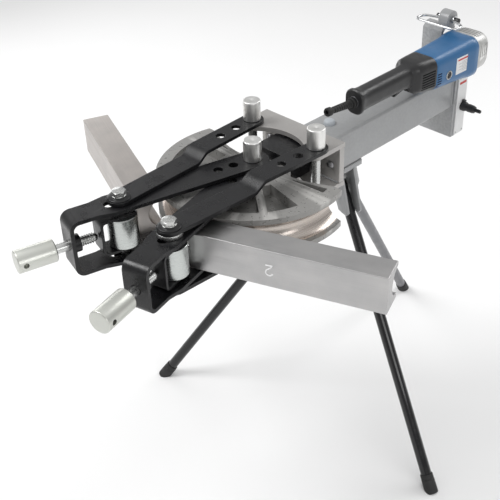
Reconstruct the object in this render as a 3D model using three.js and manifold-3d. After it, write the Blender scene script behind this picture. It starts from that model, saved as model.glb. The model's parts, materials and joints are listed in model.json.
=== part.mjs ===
// Electric ram tube bender on a folding tripod, in the set-up for two inch pipe.
// Millimetres. X runs across the machine, +Y from the bending head to the motor, +Z up.
// While it is being built, X = Y = 0 lies midway between the two side pins of the head
// and Z = 0 is the upper face of the head's top plate. The last lines move the whole
// machine so that the middle of its bounding box stands on the origin.
import * as THREE from 'three';
import { mergeVertices } from 'three/addons/utils/BufferGeometryUtils.js';
import Module from 'manifold-3d';

const wasm = await Module();
wasm.setup();

// ---------------------------------------------------------------- driving sizes
const pipeDiameter = 60.3;
const fit = 0.3;                 // gap between pieces that touch
const strap = 8;                 // flat bar of the yokes and links

const head = {
  halfWidth: 113, front: -24, rear: 66, plate: 10, floor: -91,
  cutoutRadius: 108, wallFront: 50, wallRear: 64, cornerRadius: 14,
};
const wallBolt = { x: 88, z: -55, radius: 5 };
const sidePin = { x: 92, radius: 10, bottom: -116 };
const knob = { radius: 19, height: 44, bevel: 2.5 };

const die = {
  y: -90, radius: 200, top: -36, bottom: -120, sweepBehind: 16,
  rimBand: 27, floor: -60, ribHalf: 8, hubHalf: 62, hubFront: -56, hubRear: 46,
};
const tubeZ = (die.top + die.bottom) / 2;
const centrePin = { radius: 10, bottom: -146 };

const yokeAngle = 14.5;          // each yoke stands this far off straight ahead
const yoke = {
  armHalf: 34, strapHalf: 27, front: 409, bend: 20, taperStart: 318, taperEnd: 350,
  spareHoles: [45, 80], boltAt: 295, slotEnd: 318,
};
const leftYokeLevels = { top: -16.5, bottom: -139.5 };
const rightYokeLevels = { top: -25.5, bottom: -130.5 };

const roller = { radius: 31, top: -45, bottom: -111, bolt: 10 };
const cradle = { top: -38.5, bottom: -117.5, thick: 6, rear: 271, front: 348, half: 22, bend: 12 };
const clamp = {
  z: tubeZ, screwRadius: 10.5, tip: 349, threadEnd: 384, bossEnd: 386, bossRadius: 18,
  knobStart: 436, knobEnd: 513, knobRadius: 23, tommyHole: 5.5,
};

const link = { half: 25, spareHoles: [50, 97] };
const upperLink = { level: 0.5, endLevel: -16, joggleStart: 160, joggleEnd: 186 };
const lowerLink = {
  level: head.floor - head.plate - fit - strap, endLevel: leftYokeLevels.bottom - fit - strap,
  joggleStart: 28, joggleEnd: 58,
};
const eyeRadius = 16;            // eye of each link, with room for the bolt to wander

const bar = { tilt: 7, near: 203, depth: 58, height: 80, innerEnd: -18, length: 388 };

const ram = {
  half: 38, rear: 42, top: -14, bottom: -88, tongueHalf: 28, tongueTop: -60, tongueBottom: -88,
  tubeRadius: 19, tubeZ: -65, tubeRear: 330, screwRadius: 12, nutRear: 352, nutRadius: 25,
  wheelRadius: 20,
};

const beam = { half: 49, top: -32, bottom: -120, wall: 6, front: 66.3, rear: 537.7 };
const gearbox = {
  half: 55, front: 538, plate: 8, rear: 586, bottom: -198, top: -36, wall: 5,
  uprightLeft: -52, uprightRight: 2, uprightTop: 64, shelfTop: 76, shelfRight: 20, shelfRear: 564,
};
const spindle = { x: 36, y: 571, radius: 9, flange: 15 };
const selector = { y: 571, z: -122 };
const sleeve = { y: 549, radius: 20, left: -5, right: 22, bore: 4.6, capGap: 8.5 };
const bail = { reach: 51, spread: 38, shoulder: 23, corner: 18, wire: 3, eye: 9, eyeGap: 4.5 };

const motor = {
  x: 53, z: 25, half: 41, corner: 23, housingFront: 402, housingRear: 554,
  rearHalf: 47, rearZ: 21, headRear: 604, headHalf: 45, headZ: 23, headCorner: 28,
};
const handle = { z: motor.z + 11, end: 161, switchFront: 338, switchZ: motor.z + 5 };
const cordGuard = { length: 85, rise: 8, rootRadius: 8.7, tipRadius: 7, mouthRadius: 9.5, bore: 4.6 };
const brush = { y: motor.housingFront + 44, z: motor.z - 12 };
const triggerPivot = { y: handle.switchFront + 4, z: handle.z - 18 };

const stand = { y: 171, apex: -143, spread: 444, drop: 642, firstBearing: 102.7 };
const leg = {
  radius: 12.5, start: 34, boltAt: 50, boltRadius: 5, facets: 14,
  footLength: 40, footRadius: 16, footOverlap: 20,
};
const fork = { cheek: 5, gap: 13.5, top: -130, bottom: -232, base: 58, bossDepth: 22 };

const fine = 20;                 // facets round a large round piece
const coarse = 12;               // facets round a small one

// ---------------------------------------------------------------- materials
const paint = (color, roughness = 0.5, metalness = 0) =>
  new THREE.MeshStandardMaterial({ color, roughness, metalness });
const looks = {
  greyPaint: paint(0xb9bdbf),
  blackPaint: paint(0x26262a, 0.45),
  aluminium: paint(0xd8d9da, 0.3, 1),
  castAluminium: paint(0xb4b4b2, 0.6, 0.8),
  zinc: paint(0xbfc6c8, 0.25, 1),
  bluePlastic: paint(0x3f7fb4, 0.4),
  blackPlastic: paint(0x2c2b2c, 0.6),
  rubber: paint(0x1b1b1c, 0.9),
  panel: paint(0xe8e9e8, 0.6),
  darkSteel: paint(0x3a3a3c, 0.5, 0.7),
};

// ---------------------------------------------------------------- solids
function toManifold(geometry) {
  geometry.deleteAttribute('normal');
  geometry.deleteAttribute('uv');
  const welded = mergeVertices(geometry, 1e-4);
  return new wasm.Manifold(new wasm.Mesh({
    numProp: 3,
    vertProperties: new Float32Array(welded.attributes.position.array),
    triVerts: new Uint32Array(welded.index.array),
  }));
}

function block([x0, x1], [y0, y1], [z0, z1]) {
  const shape = new THREE.BoxGeometry(x1 - x0, y1 - y0, z1 - z0);
  return toManifold(shape.translate((x0 + x1) / 2, (y0 + y1) / 2, (z0 + z1) / 2));
}

// A round bar between two points, tapered if a second radius is given.
function rod(from, to, radius, endRadius = radius, facets = coarse) {
  const start = new THREE.Vector3(...from);
  const end = new THREE.Vector3(...to);
  const along = end.clone().sub(start);
  const shape = new THREE.CylinderGeometry(endRadius, radius, along.length(), facets);
  const up = new THREE.Vector3(0, 1, 0);
  const turn = new THREE.Quaternion().setFromUnitVectors(up, along.clone().normalize());
  shape.applyQuaternion(turn);
  const middle = start.add(end).multiplyScalar(0.5);
  return toManifold(shape.translate(middle.x, middle.y, middle.z));
}

const upright = (x, y, z0, z1, radius, facets = coarse) =>
  rod([x, y, z0], [x, y, z1], radius, radius, facets);

// Radius of a faceted hole whose flats stand clear of a round piece of the given radius.
const clearOf = (radius, facets = coarse) => (radius + fit) / Math.cos(Math.PI / facets);

function outline(points) {
  return new THREE.Shape(points.map(([x, y]) => new THREE.Vector2(x, y)));
}

// A flat plate: an outline in X and Y, from z0 up to z1.
function plate(shape, z0, z1, curveSegments = 8) {
  const solid = new THREE.ExtrudeGeometry(shape, { depth: z1 - z0, bevelEnabled: false, curveSegments });
  return toManifold(solid.translate(0, 0, z0));
}

// A profile drawn in Y (first) and Z (second), carried across from x0 to x1.
function acrossX(shape, x0, x1, curveSegments = 4) {
  const solid = new THREE.ExtrudeGeometry(shape, { depth: x1 - x0, bevelEnabled: false, curveSegments });
  solid.rotateX(Math.PI / 2);
  solid.rotateZ(Math.PI / 2);
  return toManifold(solid.translate(x0, 0, 0));
}

// A profile of [radius, height] pairs turned about an upright axis.
function turned(profile, facets = fine) {
  const shape = new THREE.LatheGeometry(profile.map(([r, h]) => new THREE.Vector2(r, h)), facets);
  return toManifold(shape.rotateX(Math.PI / 2));
}

function roundedBox(halfWidth, halfHeight, corner) {
  const shape = new THREE.Shape();
  const [w, h, c] = [halfWidth, halfHeight, corner];
  shape.moveTo(c - w, -h);
  shape.lineTo(w - c, -h);
  shape.absarc(w - c, c - h, c, -Math.PI / 2, 0);
  shape.lineTo(w, h - c);
  shape.absarc(w - c, h - c, c, 0, Math.PI / 2);
  shape.lineTo(c - w, h);
  shape.absarc(c - w, h - c, c, Math.PI / 2, Math.PI);
  shape.lineTo(-w, c - h);
  shape.absarc(c - w, c - h, c, Math.PI, Math.PI * 1.5);
  return shape;
}

// A bar of rounded section lying along Y, its middle at x and z.
function barAlongY(x, z, y0, y1, halfWidth, halfHeight, corner, curveSegments = 3) {
  const shape = roundedBox(halfWidth, halfHeight, corner);
  const solid = new THREE.ExtrudeGeometry(shape, { depth: y1 - y0, bevelEnabled: false, curveSegments });
  solid.rotateX(Math.PI / 2);
  return toManifold(solid.translate(x, y1, z));
}

const joined = (first, ...rest) => rest.reduce((whole, piece) => whole.add(piece), first);
const cut = (whole, ...tools) => tools.reduce((left, tool) => left.subtract(tool), whole);

const machine = new THREE.Group();
machine.name = 'manual_tube_bender';

function addPiece(name, solid, material) {
  const { numProp, vertProperties, triVerts } = solid.getMesh();
  const geometry = new THREE.BufferGeometry();
  const positions = new Float32Array((vertProperties.length / numProp) * 3);
  for (let i = 0; i < positions.length / 3; i += 1) {
    positions.set(vertProperties.subarray(i * numProp, i * numProp + 3), i * 3);
  }
  geometry.setAttribute('position', new THREE.BufferAttribute(positions, 3));
  geometry.setIndex(new THREE.BufferAttribute(new Uint32Array(triVerts), 1));
  geometry.computeVertexNormals();
  const mesh = new THREE.Mesh(geometry, material);
  mesh.name = name;
  machine.add(mesh);
}

const sides = [
  { name: 'left', sign: -1, levels: leftYokeLevels },
  { name: 'right', sign: 1, levels: rightYokeLevels },
];

// Everything on a swinging arm is drawn for the right-hand arm, straight ahead of the
// centre pin along -Y, then turned out to its resting angle and mirrored for the left.
function onArm(solid, side) {
  const placed = solid.rotate([0, 0, yokeAngle]).translate([0, die.y, 0]);
  return side.sign > 0 ? placed : placed.mirror([1, 0, 0]);
}

const mirrored = (solid, side) => (side.sign > 0 ? solid : solid.mirror([1, 0, 0]));

// ---------------------------------------------------------------- bending head
function headPlateOutline() {
  const { halfWidth: w, front, rear, cornerRadius: c } = head;
  const shape = new THREE.Shape();
  shape.moveTo(-w, rear);
  shape.lineTo(-w, front + c);
  shape.absarc(c - w, front + c, c, Math.PI, Math.PI * 1.5);
  shape.lineTo(w - c, front);
  shape.absarc(w - c, front + c, c, -Math.PI / 2, 0);
  shape.lineTo(w, rear);
  return shape;
}

function headPlate(z0, z1) {
  const sweep = upright(0, die.y, z0 - 1, z1 + 1, head.cutoutRadius, 48);
  const bore = (sign) => upright(sign * sidePin.x, 0, z0 - 1, z1 + 1, clearOf(sidePin.radius));
  const bores = sides.map(({ sign }) => bore(sign));
  return cut(plate(headPlateOutline(), z0, z1), sweep, ...bores);
}

function buildHead() {
  addPiece('head_top_plate', headPlate(-head.plate, 0), looks.greyPaint);
  addPiece('head_bottom_plate', headPlate(head.floor - head.plate, head.floor), looks.greyPaint);

  const wallSpan = [head.floor + fit, -head.plate - fit];
  const wall = block([-head.halfWidth, head.halfWidth], [head.wallFront, head.wallRear], wallSpan);
  const window = block([-ram.half - 4, ram.half + 4], [0, 100], [-86, -18]);
  const boltHoles = sides.map(({ sign }) => {
    const at = (y) => [sign * wallBolt.x, y, wallBolt.z];
    return rod(at(head.wallFront - 5), at(head.wallRear + 5), clearOf(wallBolt.radius));
  });
  addPiece('head_back_wall', cut(wall, window, ...boltHoles), looks.greyPaint);

  for (const side of sides) {
    const at = (y) => [side.sign * wallBolt.x, y, wallBolt.z];
    const shank = rod(at(head.wallFront - 2), at(head.wallRear + 6), wallBolt.radius);
    const dome = rod(at(head.wallFront - 7), at(head.wallFront - fit), 6, 10);
    const nut = rod(at(head.wallRear + fit), at(head.wallRear + 7), 10, 10, 6);
    addPiece(`wall_bolt_${side.name}`, joined(shank, dome, nut), looks.zinc);
  }
}

// Pull-out pins, each with a turned aluminium knob on its upper end.
function pinKnob(x, y, z) {
  const { radius, height, bevel } = knob;
  const profile = [
    [0, 0], [radius - 1, 0], [radius, 1], [radius, height - bevel], [radius - bevel, height], [0, height],
  ];
  const socket = upright(x, y, z - 1, z + 20, clearOf(8));
  return cut(turned(profile).translate([x, y, z]), socket);
}

function pinWithSpigot(x, y, bottom, shoulder, radius) {
  const body = upright(x, y, bottom + 3, shoulder, radius, fine);
  const lead = rod([x, y, bottom], [x, y, bottom + 3], radius - 2, radius, fine);
  return joined(body, lead, upright(x, y, shoulder - 1, shoulder + 18, 8));
}

function buildPins() {
  const linkTop = upperLink.level + strap;
  for (const side of sides) {
    const x = side.sign * sidePin.x;
    const pin = pinWithSpigot(x, 0, sidePin.bottom, linkTop + fit, sidePin.radius);
    addPiece(`side_pin_${side.name}`, pin, looks.zinc);
    addPiece(`side_knob_${side.name}`, pinKnob(x, 0, linkTop + 2 * fit), looks.aluminium);
  }
  const yokeTop = leftYokeLevels.top;
  const pin = pinWithSpigot(0, die.y, centrePin.bottom, yokeTop + fit, centrePin.radius);
  addPiece('centre_pin', pin, looks.zinc);
  addPiece('centre_knob', pinKnob(0, die.y, yokeTop + 2 * fit), looks.aluminium);
}

// ---------------------------------------------------------------- former and ram
// The former is drawn about its own pin: a little over half a wheel, grooved round the
// rim for the pipe, hollowed on its upper side between ribs.
function dieWheel() {
  const grooveRadius = pipeDiameter / 2;
  const steps = 8;
  const groove = [];
  for (let i = 0; i <= steps; i += 1) {
    const angle = -Math.PI / 2 + (Math.PI * i) / steps;
    groove.push([die.radius - grooveRadius * Math.cos(angle), tubeZ + grooveRadius * Math.sin(angle)]);
  }
  const profile = [
    [0, die.bottom], [die.radius, die.bottom], ...groove, [die.radius, die.top], [0, die.top],
  ];
  return turned(profile, 48);
}

function dieOutline() {
  const reach = die.radius + 5;
  const behind = THREE.MathUtils.degToRad(die.sweepBehind);
  const endY = die.radius * Math.sin(behind);
  const shape = new THREE.Shape();
  shape.moveTo(-reach, endY);
  shape.lineTo(-reach, -reach);
  shape.lineTo(reach, -reach);
  shape.lineTo(reach, endY);
  shape.lineTo(die.radius - die.rimBand - 4, endY);
  shape.quadraticCurveTo(die.hubHalf + 50, 22, die.hubHalf, 24);
  shape.lineTo(die.hubHalf, die.hubRear);
  shape.lineTo(-die.hubHalf, die.hubRear);
  shape.lineTo(-die.hubHalf, 24);
  shape.quadraticCurveTo(-die.hubHalf - 50, 22, -die.radius + die.rimBand + 4, endY);
  return shape;
}

function diePockets() {
  const ring = upright(0, 0, die.floor, die.top + 1, die.radius - die.rimBand, 48);
  const hub = plate(outline([
    [-die.hubHalf, 80], [-die.hubHalf, die.hubFront + 22], [-die.hubHalf + 22, die.hubFront],
    [die.hubHalf - 22, die.hubFront], [die.hubHalf, die.hubFront + 22], [die.hubHalf, 80],
  ]), die.floor - 1, die.top + 2);
  const rib = block([0, die.radius], [-die.ribHalf, die.ribHalf], [die.floor - 1, die.top + 2]);
  const ribs = [-38, -90, -142].map((bearing) => rib.rotate([0, 0, bearing]));
  const bosses = [-12, -168].map((bearing) => {
    const angle = THREE.MathUtils.degToRad(bearing);
    return upright(118 * Math.cos(angle), 118 * Math.sin(angle), die.floor - 1, die.top - 14, 15);
  });
  return cut(ring, hub, ...ribs, ...bosses);
}

function buildDie() {
  const slot = block(
    [-ram.tongueHalf - fit, ram.tongueHalf + fit], [-34, die.hubRear + 1],
    [ram.tongueBottom - fit, ram.tongueTop + fit],
  );
  const bore = upright(0, 0, die.bottom - 1, die.top + 1, clearOf(centrePin.radius));
  const blank = dieWheel().intersect(plate(dieOutline(), die.bottom - 1, die.top + 1, 10));
  const former = cut(blank, diePockets(), slot, bore).translate([0, die.y, 0]);
  addPiece('bending_die', former, looks.castAluminium);
}

function buildRam() {
  const face = die.y + die.hubRear + fit;
  const body = block([-ram.half, ram.half], [face, ram.rear], [ram.bottom, ram.top]);
  const tongue = block(
    [-ram.tongueHalf, ram.tongueHalf], [die.y - 32, face + 1], [ram.tongueBottom, ram.tongueTop],
  );
  const bore = upright(0, die.y, ram.tongueBottom - 1, ram.tongueTop + 1, clearOf(centrePin.radius));
  const seatRadius = clearOf(ram.tubeRadius, fine);
  const axis = (y) => [0, y, ram.tubeZ];
  const seat = rod(axis(ram.rear - 8), axis(ram.rear + 1), seatRadius, seatRadius, fine);
  addPiece('ram_block', cut(joined(body, tongue), bore, seat), looks.blackPaint);

  const outside = rod(axis(ram.rear - 8 + fit), axis(ram.tubeRear), ram.tubeRadius, ram.tubeRadius, fine);
  const nut = rod(axis(ram.tubeRear - 1), axis(ram.nutRear), ram.nutRadius, ram.nutRadius, fine);
  const hollow = rod(axis(0), axis(ram.nutRear + 1), clearOf(ram.screwRadius + 0.7));
  addPiece('ram_tube', cut(joined(outside, nut), hollow), looks.zinc);

  const inCase = gearbox.front + gearbox.plate;
  const screw = rod(axis(60), axis(inCase + 22), ram.screwRadius, ram.screwRadius, coarse);
  const wheel = rod(axis(inCase + 8), axis(inCase + 20), ram.wheelRadius, ram.wheelRadius, fine);
  addPiece('lead_screw', joined(screw, wheel), looks.darkSteel);
}

// ---------------------------------------------------------------- yokes
function yokeProfile(top, bottom) {
  const { front, bend } = yoke;
  const inner = bend - strap;
  const shape = new THREE.Shape();
  shape.moveTo(60, top);
  shape.lineTo(bend - front, top);
  shape.absarc(bend - front, top - bend, bend, Math.PI / 2, Math.PI, false);
  shape.lineTo(-front, bottom + bend);
  shape.absarc(bend - front, bottom + bend, bend, Math.PI, Math.PI * 1.5, false);
  shape.lineTo(60, bottom);
  shape.lineTo(60, bottom + strap);
  shape.lineTo(bend - front, bottom + strap);
  shape.absarc(bend - front, bottom + bend, inner, Math.PI * 1.5, Math.PI, true);
  shape.lineTo(strap - front, top - bend);
  shape.absarc(bend - front, top - bend, inner, Math.PI, Math.PI / 2, true);
  shape.lineTo(60, top - strap);
  return shape;
}

function yokeOutline() {
  const { armHalf, strapHalf, front, taperStart, taperEnd } = yoke;
  const shape = new THREE.Shape();
  shape.absarc(0, 0, armHalf, 0, Math.PI, false);
  shape.lineTo(-armHalf, -taperStart);
  shape.lineTo(-strapHalf, -taperEnd);
  shape.lineTo(-strapHalf, -front - 5);
  shape.lineTo(strapHalf, -front - 5);
  shape.lineTo(strapHalf, -taperEnd);
  shape.lineTo(armHalf, -taperStart);
  return shape;
}

function slotAlongArm(start, end, radius, z0, z1) {
  const middle = block([-radius, radius], [-end, -start], [z0, z1]);
  return joined(middle, upright(0, -start, z0, z1, radius), upright(0, -end, z0, z1, radius));
}

function buildYoke(side) {
  const { top, bottom } = side.levels;
  const bent = acrossX(yokeProfile(top, bottom), -yoke.armHalf - 5, yoke.armHalf + 5);
  const blank = bent.intersect(plate(yokeOutline(), bottom - 1, top + 1, 8));
  const z = clamp.z;
  const boss = rod([0, -clamp.bossEnd, z], [0, 1 - yoke.front, z], clamp.bossRadius);
  const holes = [
    upright(0, 0, bottom - 1, top + 1, clearOf(centrePin.radius)),
    ...yoke.spareHoles.map((y) => upright(0, -y, bottom - 1, top + 1, centrePin.radius)),
    slotAlongArm(yoke.boltAt, yoke.slotEnd, clearOf(roller.bolt), bottom - 1, top + 1),
    rod([0, -360, z], [0, -yoke.front - 5, z], clearOf(clamp.screwRadius)),
  ];
  addPiece(`yoke_${side.name}`, onArm(cut(joined(blank, boss), ...holes), side), looks.blackPaint);
}

// ---------------------------------------------------------------- rollers and clamps
function buildRoller(side) {
  const bore = upright(0, -yoke.boltAt, -200, 0, clearOf(roller.bolt));
  const wheel = turned([
    [0, roller.bottom], [roller.radius - 2, roller.bottom], [roller.radius, roller.bottom + 2],
    [roller.radius, roller.top - 2], [roller.radius - 2, roller.top], [0, roller.top],
  ], fine).translate([0, -yoke.boltAt, 0]);
  addPiece(`roller_${side.name}`, onArm(cut(wheel, bore), side), looks.zinc);

  const linkTop = upperLink.endLevel + strap;
  const linkBottom = lowerLink.endLevel;
  const washerTop = linkTop + fit + 4;
  const shank = upright(0, -yoke.boltAt, linkBottom - 13, washerTop + 1, roller.bolt);
  const hex = upright(0, -yoke.boltAt, washerTop + fit, washerTop + 11, 15, 6);
  const nut = upright(0, -yoke.boltAt, linkBottom - 10, linkBottom - fit, 21, 6);
  addPiece(`roller_bolt_${side.name}`, onArm(joined(shank, hex, nut), side), looks.zinc);

  const dome = [[0, 0], [23, 0], [23, 1.6], [17, 4], [0, 4]];
  const washer = turned(dome).translate([0, -yoke.boltAt, linkTop + fit]);
  addPiece(`domed_washer_${side.name}`, onArm(cut(washer, bore), side), looks.blackPaint);
}

// The right-hand yoke lies lower, so a thick washer fills the space below its link.
function buildSpacer(side) {
  const z0 = side.levels.top + fit;
  const ring = upright(0, -yoke.boltAt, z0, upperLink.endLevel - fit, 25, fine);
  const bore = upright(0, -yoke.boltAt, z0 - 1, 0, clearOf(roller.bolt));
  addPiece('spacer_washer_right', onArm(cut(ring, bore), side), looks.zinc);
}

function cradleProfile() {
  const { top, bottom, thick, rear, front, bend } = cradle;
  const inner = bend - thick;
  const shape = new THREE.Shape();
  shape.moveTo(-rear, top);
  shape.lineTo(bend - front, top);
  shape.absarc(bend - front, top - bend, bend, Math.PI / 2, Math.PI, false);
  shape.lineTo(-front, bottom + bend);
  shape.absarc(bend - front, bottom + bend, bend, Math.PI, Math.PI * 1.5, false);
  shape.lineTo(-rear, bottom);
  shape.lineTo(-rear, bottom + thick);
  shape.lineTo(bend - front, bottom + thick);
  shape.absarc(bend - front, bottom + bend, inner, Math.PI * 1.5, Math.PI, true);
  shape.lineTo(thick - front, top - bend);
  shape.absarc(bend - front, top - bend, inner, Math.PI, Math.PI / 2, true);
  shape.lineTo(-rear, top - thick);
  return shape;
}

function buildCradle(side) {
  const bent = acrossX(cradleProfile(), -cradle.half, cradle.half, 5);
  const slotStart = yoke.boltAt - 14;
  const slot = slotAlongArm(
    slotStart, yoke.boltAt, clearOf(roller.bolt), cradle.bottom - 1, cradle.top + 1,
  );
  addPiece(`roller_cradle_${side.name}`, onArm(cut(bent, slot), side), looks.blackPaint);
}

// The clamp screw: rounded nose against the cradle, thread, then a plain shank.
function clampScrew() {
  const r = clamp.screwRadius;
  const profile = [[0, 0], [5, 1], [8, 5], [8, 9]];
  const pitch = 7;
  for (let h = 10; clamp.tip + h + pitch < clamp.threadEnd; h += pitch) {
    profile.push([r - 2.4, h], [r, h + pitch / 2]);
  }
  const shank = clamp.threadEnd - clamp.tip;
  const end = clamp.knobStart - clamp.tip + 24;
  profile.push([r - 0.4, shank], [r - 0.4, end], [0, end]);
  return turned(profile, 14).rotate([90, 0, 0]).translate([0, -clamp.tip, clamp.z]);
}

function clampKnob() {
  const { knobStart, knobEnd, knobRadius: r, z } = clamp;
  const long = knobEnd - knobStart;
  const profile = [[0, 0], [r - 3, 0], [r, 3], [r, long - 2], [r - 2, long], [0, long]];
  const body = turned(profile, fine).rotate([90, 0, 0]).translate([0, -knobStart, z]);
  const socketEnd = -knobStart - 24 - fit;
  const socket = rod([0, 1 - knobStart, z], [0, socketEnd, z], clearOf(clamp.screwRadius - 0.4));
  const tommy = rod([-r - 5, -knobEnd + 14, z], [r + 5, -knobEnd + 14, z], clamp.tommyHole);
  return cut(body, socket, tommy);
}

function buildClamp(side) {
  addPiece(`clamp_screw_${side.name}`, onArm(clampScrew(), side), looks.zinc);
  addPiece(`clamp_knob_${side.name}`, onArm(clampKnob(), side), looks.aluminium);
}

// ---------------------------------------------------------------- follow bars
// Drawn along X with the pipe groove facing the former, then tilted against the arm.
function buildFollowBar(side) {
  const { near, depth, height, innerEnd, length, tilt } = bar;
  const [z0, z1] = [tubeZ - height / 2, tubeZ + height / 2];
  const body = block([innerEnd, innerEnd + length], [-near - depth, -near], [z0, z1]);
  const onFace = (x) => [x, -near, tubeZ];
  const channel = rod(
    onFace(innerEnd - 5), onFace(innerEnd + length + 5), pipeDiameter / 2, pipeDiameter / 2, 24,
  );
  const back = -near - depth;
  const nose = plate(outline([
    [innerEnd - 1, back - 1], [innerEnd + 12, back - 1], [innerEnd - 1, back + 14],
  ]), z0 - 1, z1 + 1);
  const finished = cut(body, channel, nose).rotate([0, 0, tilt]);
  addPiece(`follow_bar_${side.name}`, onArm(finished, side), looks.aluminium);
}

// ---------------------------------------------------------------- side links
const armTip = new THREE.Vector2(
  yoke.boltAt * Math.sin(THREE.MathUtils.degToRad(yokeAngle)),
  die.y - yoke.boltAt * Math.cos(THREE.MathUtils.degToRad(yokeAngle)),
);
const linkLength = Math.hypot(armTip.x - sidePin.x, armTip.y);
const linkAngle = THREE.MathUtils.radToDeg(Math.atan2(armTip.x - sidePin.x, -armTip.y));

// A flat strap seen from the side: level, a joggle, level again.
function joggled({ level, endLevel, joggleStart, joggleEnd }) {
  const tail = -linkLength - 40;
  return outline([
    [40, level], [-joggleStart, level], [-joggleEnd, endLevel], [tail, endLevel],
    [tail, endLevel + strap], [-joggleEnd, endLevel + strap], [-joggleStart, level + strap],
    [40, level + strap],
  ]);
}

function linkOutline() {
  const shape = new THREE.Shape();
  shape.absarc(0, 0, link.half, 0, Math.PI, false);
  shape.absarc(0, -linkLength, link.half, Math.PI, Math.PI * 2, false);
  return shape;
}

function buildLink(side, name, shape) {
  const [low, high] = [shape.endLevel - 1, shape.level + strap + 1];
  const blank = acrossX(joggled(shape), -link.half - 5, link.half + 5)
    .intersect(plate(linkOutline(), low, high, 7));
  const holes = [
    upright(0, 0, low, high, clearOf(sidePin.radius)),
    ...link.spareHoles.map((y) => upright(0, -y, low, high, sidePin.radius)),
    upright(0, -linkLength, low, high, eyeRadius, 16),
  ];
  const placed = cut(blank, ...holes).rotate([0, 0, linkAngle]).translate([sidePin.x, 0, 0]);
  addPiece(name, mirrored(placed, side), looks.blackPaint);
}

// ---------------------------------------------------------------- beam and gearbox
function buildBeam() {
  const { half, top, bottom, wall, front, rear } = beam;
  const middle = (top + bottom) / 2;
  const tall = (top - bottom) / 2;
  const outside = barAlongY(0, middle, front, rear, half, tall, 6, 3);
  const inside = barAlongY(0, middle, front - 1, rear + 1, half - wall, tall - wall, 3, 2);
  addPiece('beam_tube', cut(outside, inside), looks.greyPaint);
}

// The upright behind the motor, sloping back at its top to the shelf under the sleeve.
function uprightProfile() {
  const { front, plate: thick, top, uprightTop, shelfTop, shelfRear } = gearbox;
  return outline([
    [front, top - 1], [front + thick, top - 1], [front + thick, uprightTop - 5],
    [front + 17, shelfTop - 8], [shelfRear, shelfTop - 8], [shelfRear, shelfTop],
    [front + 13, shelfTop], [front, uprightTop],
  ]);
}

function buildGearbox() {
  const { half, front, plate: thick, rear, bottom, top, wall, uprightLeft, uprightRight } = gearbox;
  const opening = rod([0, front - 1, ram.tubeZ], [0, front + thick + 1, ram.tubeZ], ram.screwRadius + 2);
  const face = block([-half, half], [front, front + thick], [bottom, top]);
  const rising = acrossX(uprightProfile(), uprightLeft, uprightRight);
  const shelf = block(
    [uprightRight - 1, gearbox.shelfRight], [front + 13, gearbox.shelfRear],
    [gearbox.shelfTop - 6, gearbox.shelfTop],
  );
  const foot = block([uprightLeft, uprightRight], [front + thick - 1, rear], [top + fit, top + 8]);
  addPiece('gearbox_plate', cut(joined(face, rising, shelf, foot), opening), looks.greyPaint);

  const shell = block([-half, half], [front + thick + fit, rear], [bottom, top]);
  const hollow = block(
    [wall - half, half - wall], [front + thick, rear - wall], [bottom + wall, top - wall],
  );
  const spindleHole = upright(spindle.x, spindle.y, top - wall - 1, top + 1, spindle.radius + 2);
  const shaftHole = rod([0, selector.y, selector.z], [half + 5, selector.y, selector.z], clearOf(5));
  addPiece('gearbox_case', cut(shell, hollow, spindleHole, shaftHole), looks.greyPaint);

  const panel = block([half + fit, half + 3], [front + thick + 2, rear - 2], [bottom + 3, top - 3]);
  addPiece('side_panel', cut(panel, shaftHole), looks.panel);
}

function buildSelector() {
  const { y, z } = selector;
  const start = gearbox.half + 3 + fit;
  const at = (x) => [x, y, z];
  const shaft = rod(at(gearbox.half - 14), at(start + 1), 5);
  const base = rod(at(start), at(start + 14), 11.5);
  const grip = rod(at(start + 13), at(start + 38), 10, 9);
  const tip = rod(at(start + 37), at(start + 54), 4.5);
  const pointer = block([start, start + 10], [y - 4, y + 4], [z, z + 17]);
  addPiece('selector_lever', joined(shaft, base, grip, tip, pointer), looks.blackPlastic);
}

// ---------------------------------------------------------------- carrying handle
const sleeveZ = gearbox.shelfTop + fit + sleeve.radius;

function buildCarryingHandle() {
  const { y, left, right, radius, bore, capGap } = sleeve;
  const at = (x) => [x, y, sleeveZ];
  const barrel = rod(at(left), at(right), radius, radius, fine);
  addPiece('handle_sleeve', cut(barrel, rod(at(left - 1), at(right + 1), bore)), looks.greyPaint);

  const [endLeft, endRight] = [left - capGap, right + capGap];
  const shaft = rod(at(endLeft - 5), at(endRight + 5), bore - 0.5);
  const caps = [rod(at(endLeft - 8), at(endLeft), 5.5), rod(at(endRight), at(endRight + 10), 6)];
  addPiece('handle_pin', joined(shaft, ...caps), looks.blackPlastic);

  addPiece('bail_handle', bailHandle(left - bail.eyeGap, right + bail.eyeGap), looks.zinc);
}

// A wire loop on the sleeve's pin: its arms splay out to a wide bar with cut corners.
function bailHandle(armLeft, armRight) {
  const { reach, spread, shoulder, corner, wire, eye } = bail;
  const at = (x, out) => [x, sleeve.y - out, sleeveZ];
  const halfLoop = (arm, sign) => [
    at(arm, eye - 1), at(arm + sign * spread, shoulder), at(arm + sign * spread, reach - corner),
    at(arm + sign * (spread - corner), reach),
  ];
  const route = [...halfLoop(armLeft, -1), ...halfLoop(armRight, 1).reverse()];
  const wires = route.slice(1).map((point, i) => rod(route[i], point, wire, wire, 6));
  const knuckles = route.slice(1, -1).map(([x, y, z]) =>
    toManifold(new THREE.SphereGeometry(wire, 6, 4)).translate([x, y, z]));
  const arms = [armLeft, armRight];
  const eyes = arms.map((x) => rod([x - wire, sleeve.y, sleeveZ], [x + wire, sleeve.y, sleeveZ], eye));
  const bore = rod([armLeft - 6, sleeve.y, sleeveZ], [armRight + 6, sleeve.y, sleeveZ], sleeve.bore);
  return cut(joined(...eyes, ...wires, ...knuckles), bore);
}

// ---------------------------------------------------------------- motor
function buildMotor() {
  buildMotorHousing();
  buildGearHead();
  buildMotorHandle();
  buildTrigger();
  buildCordGuard();
}

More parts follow.
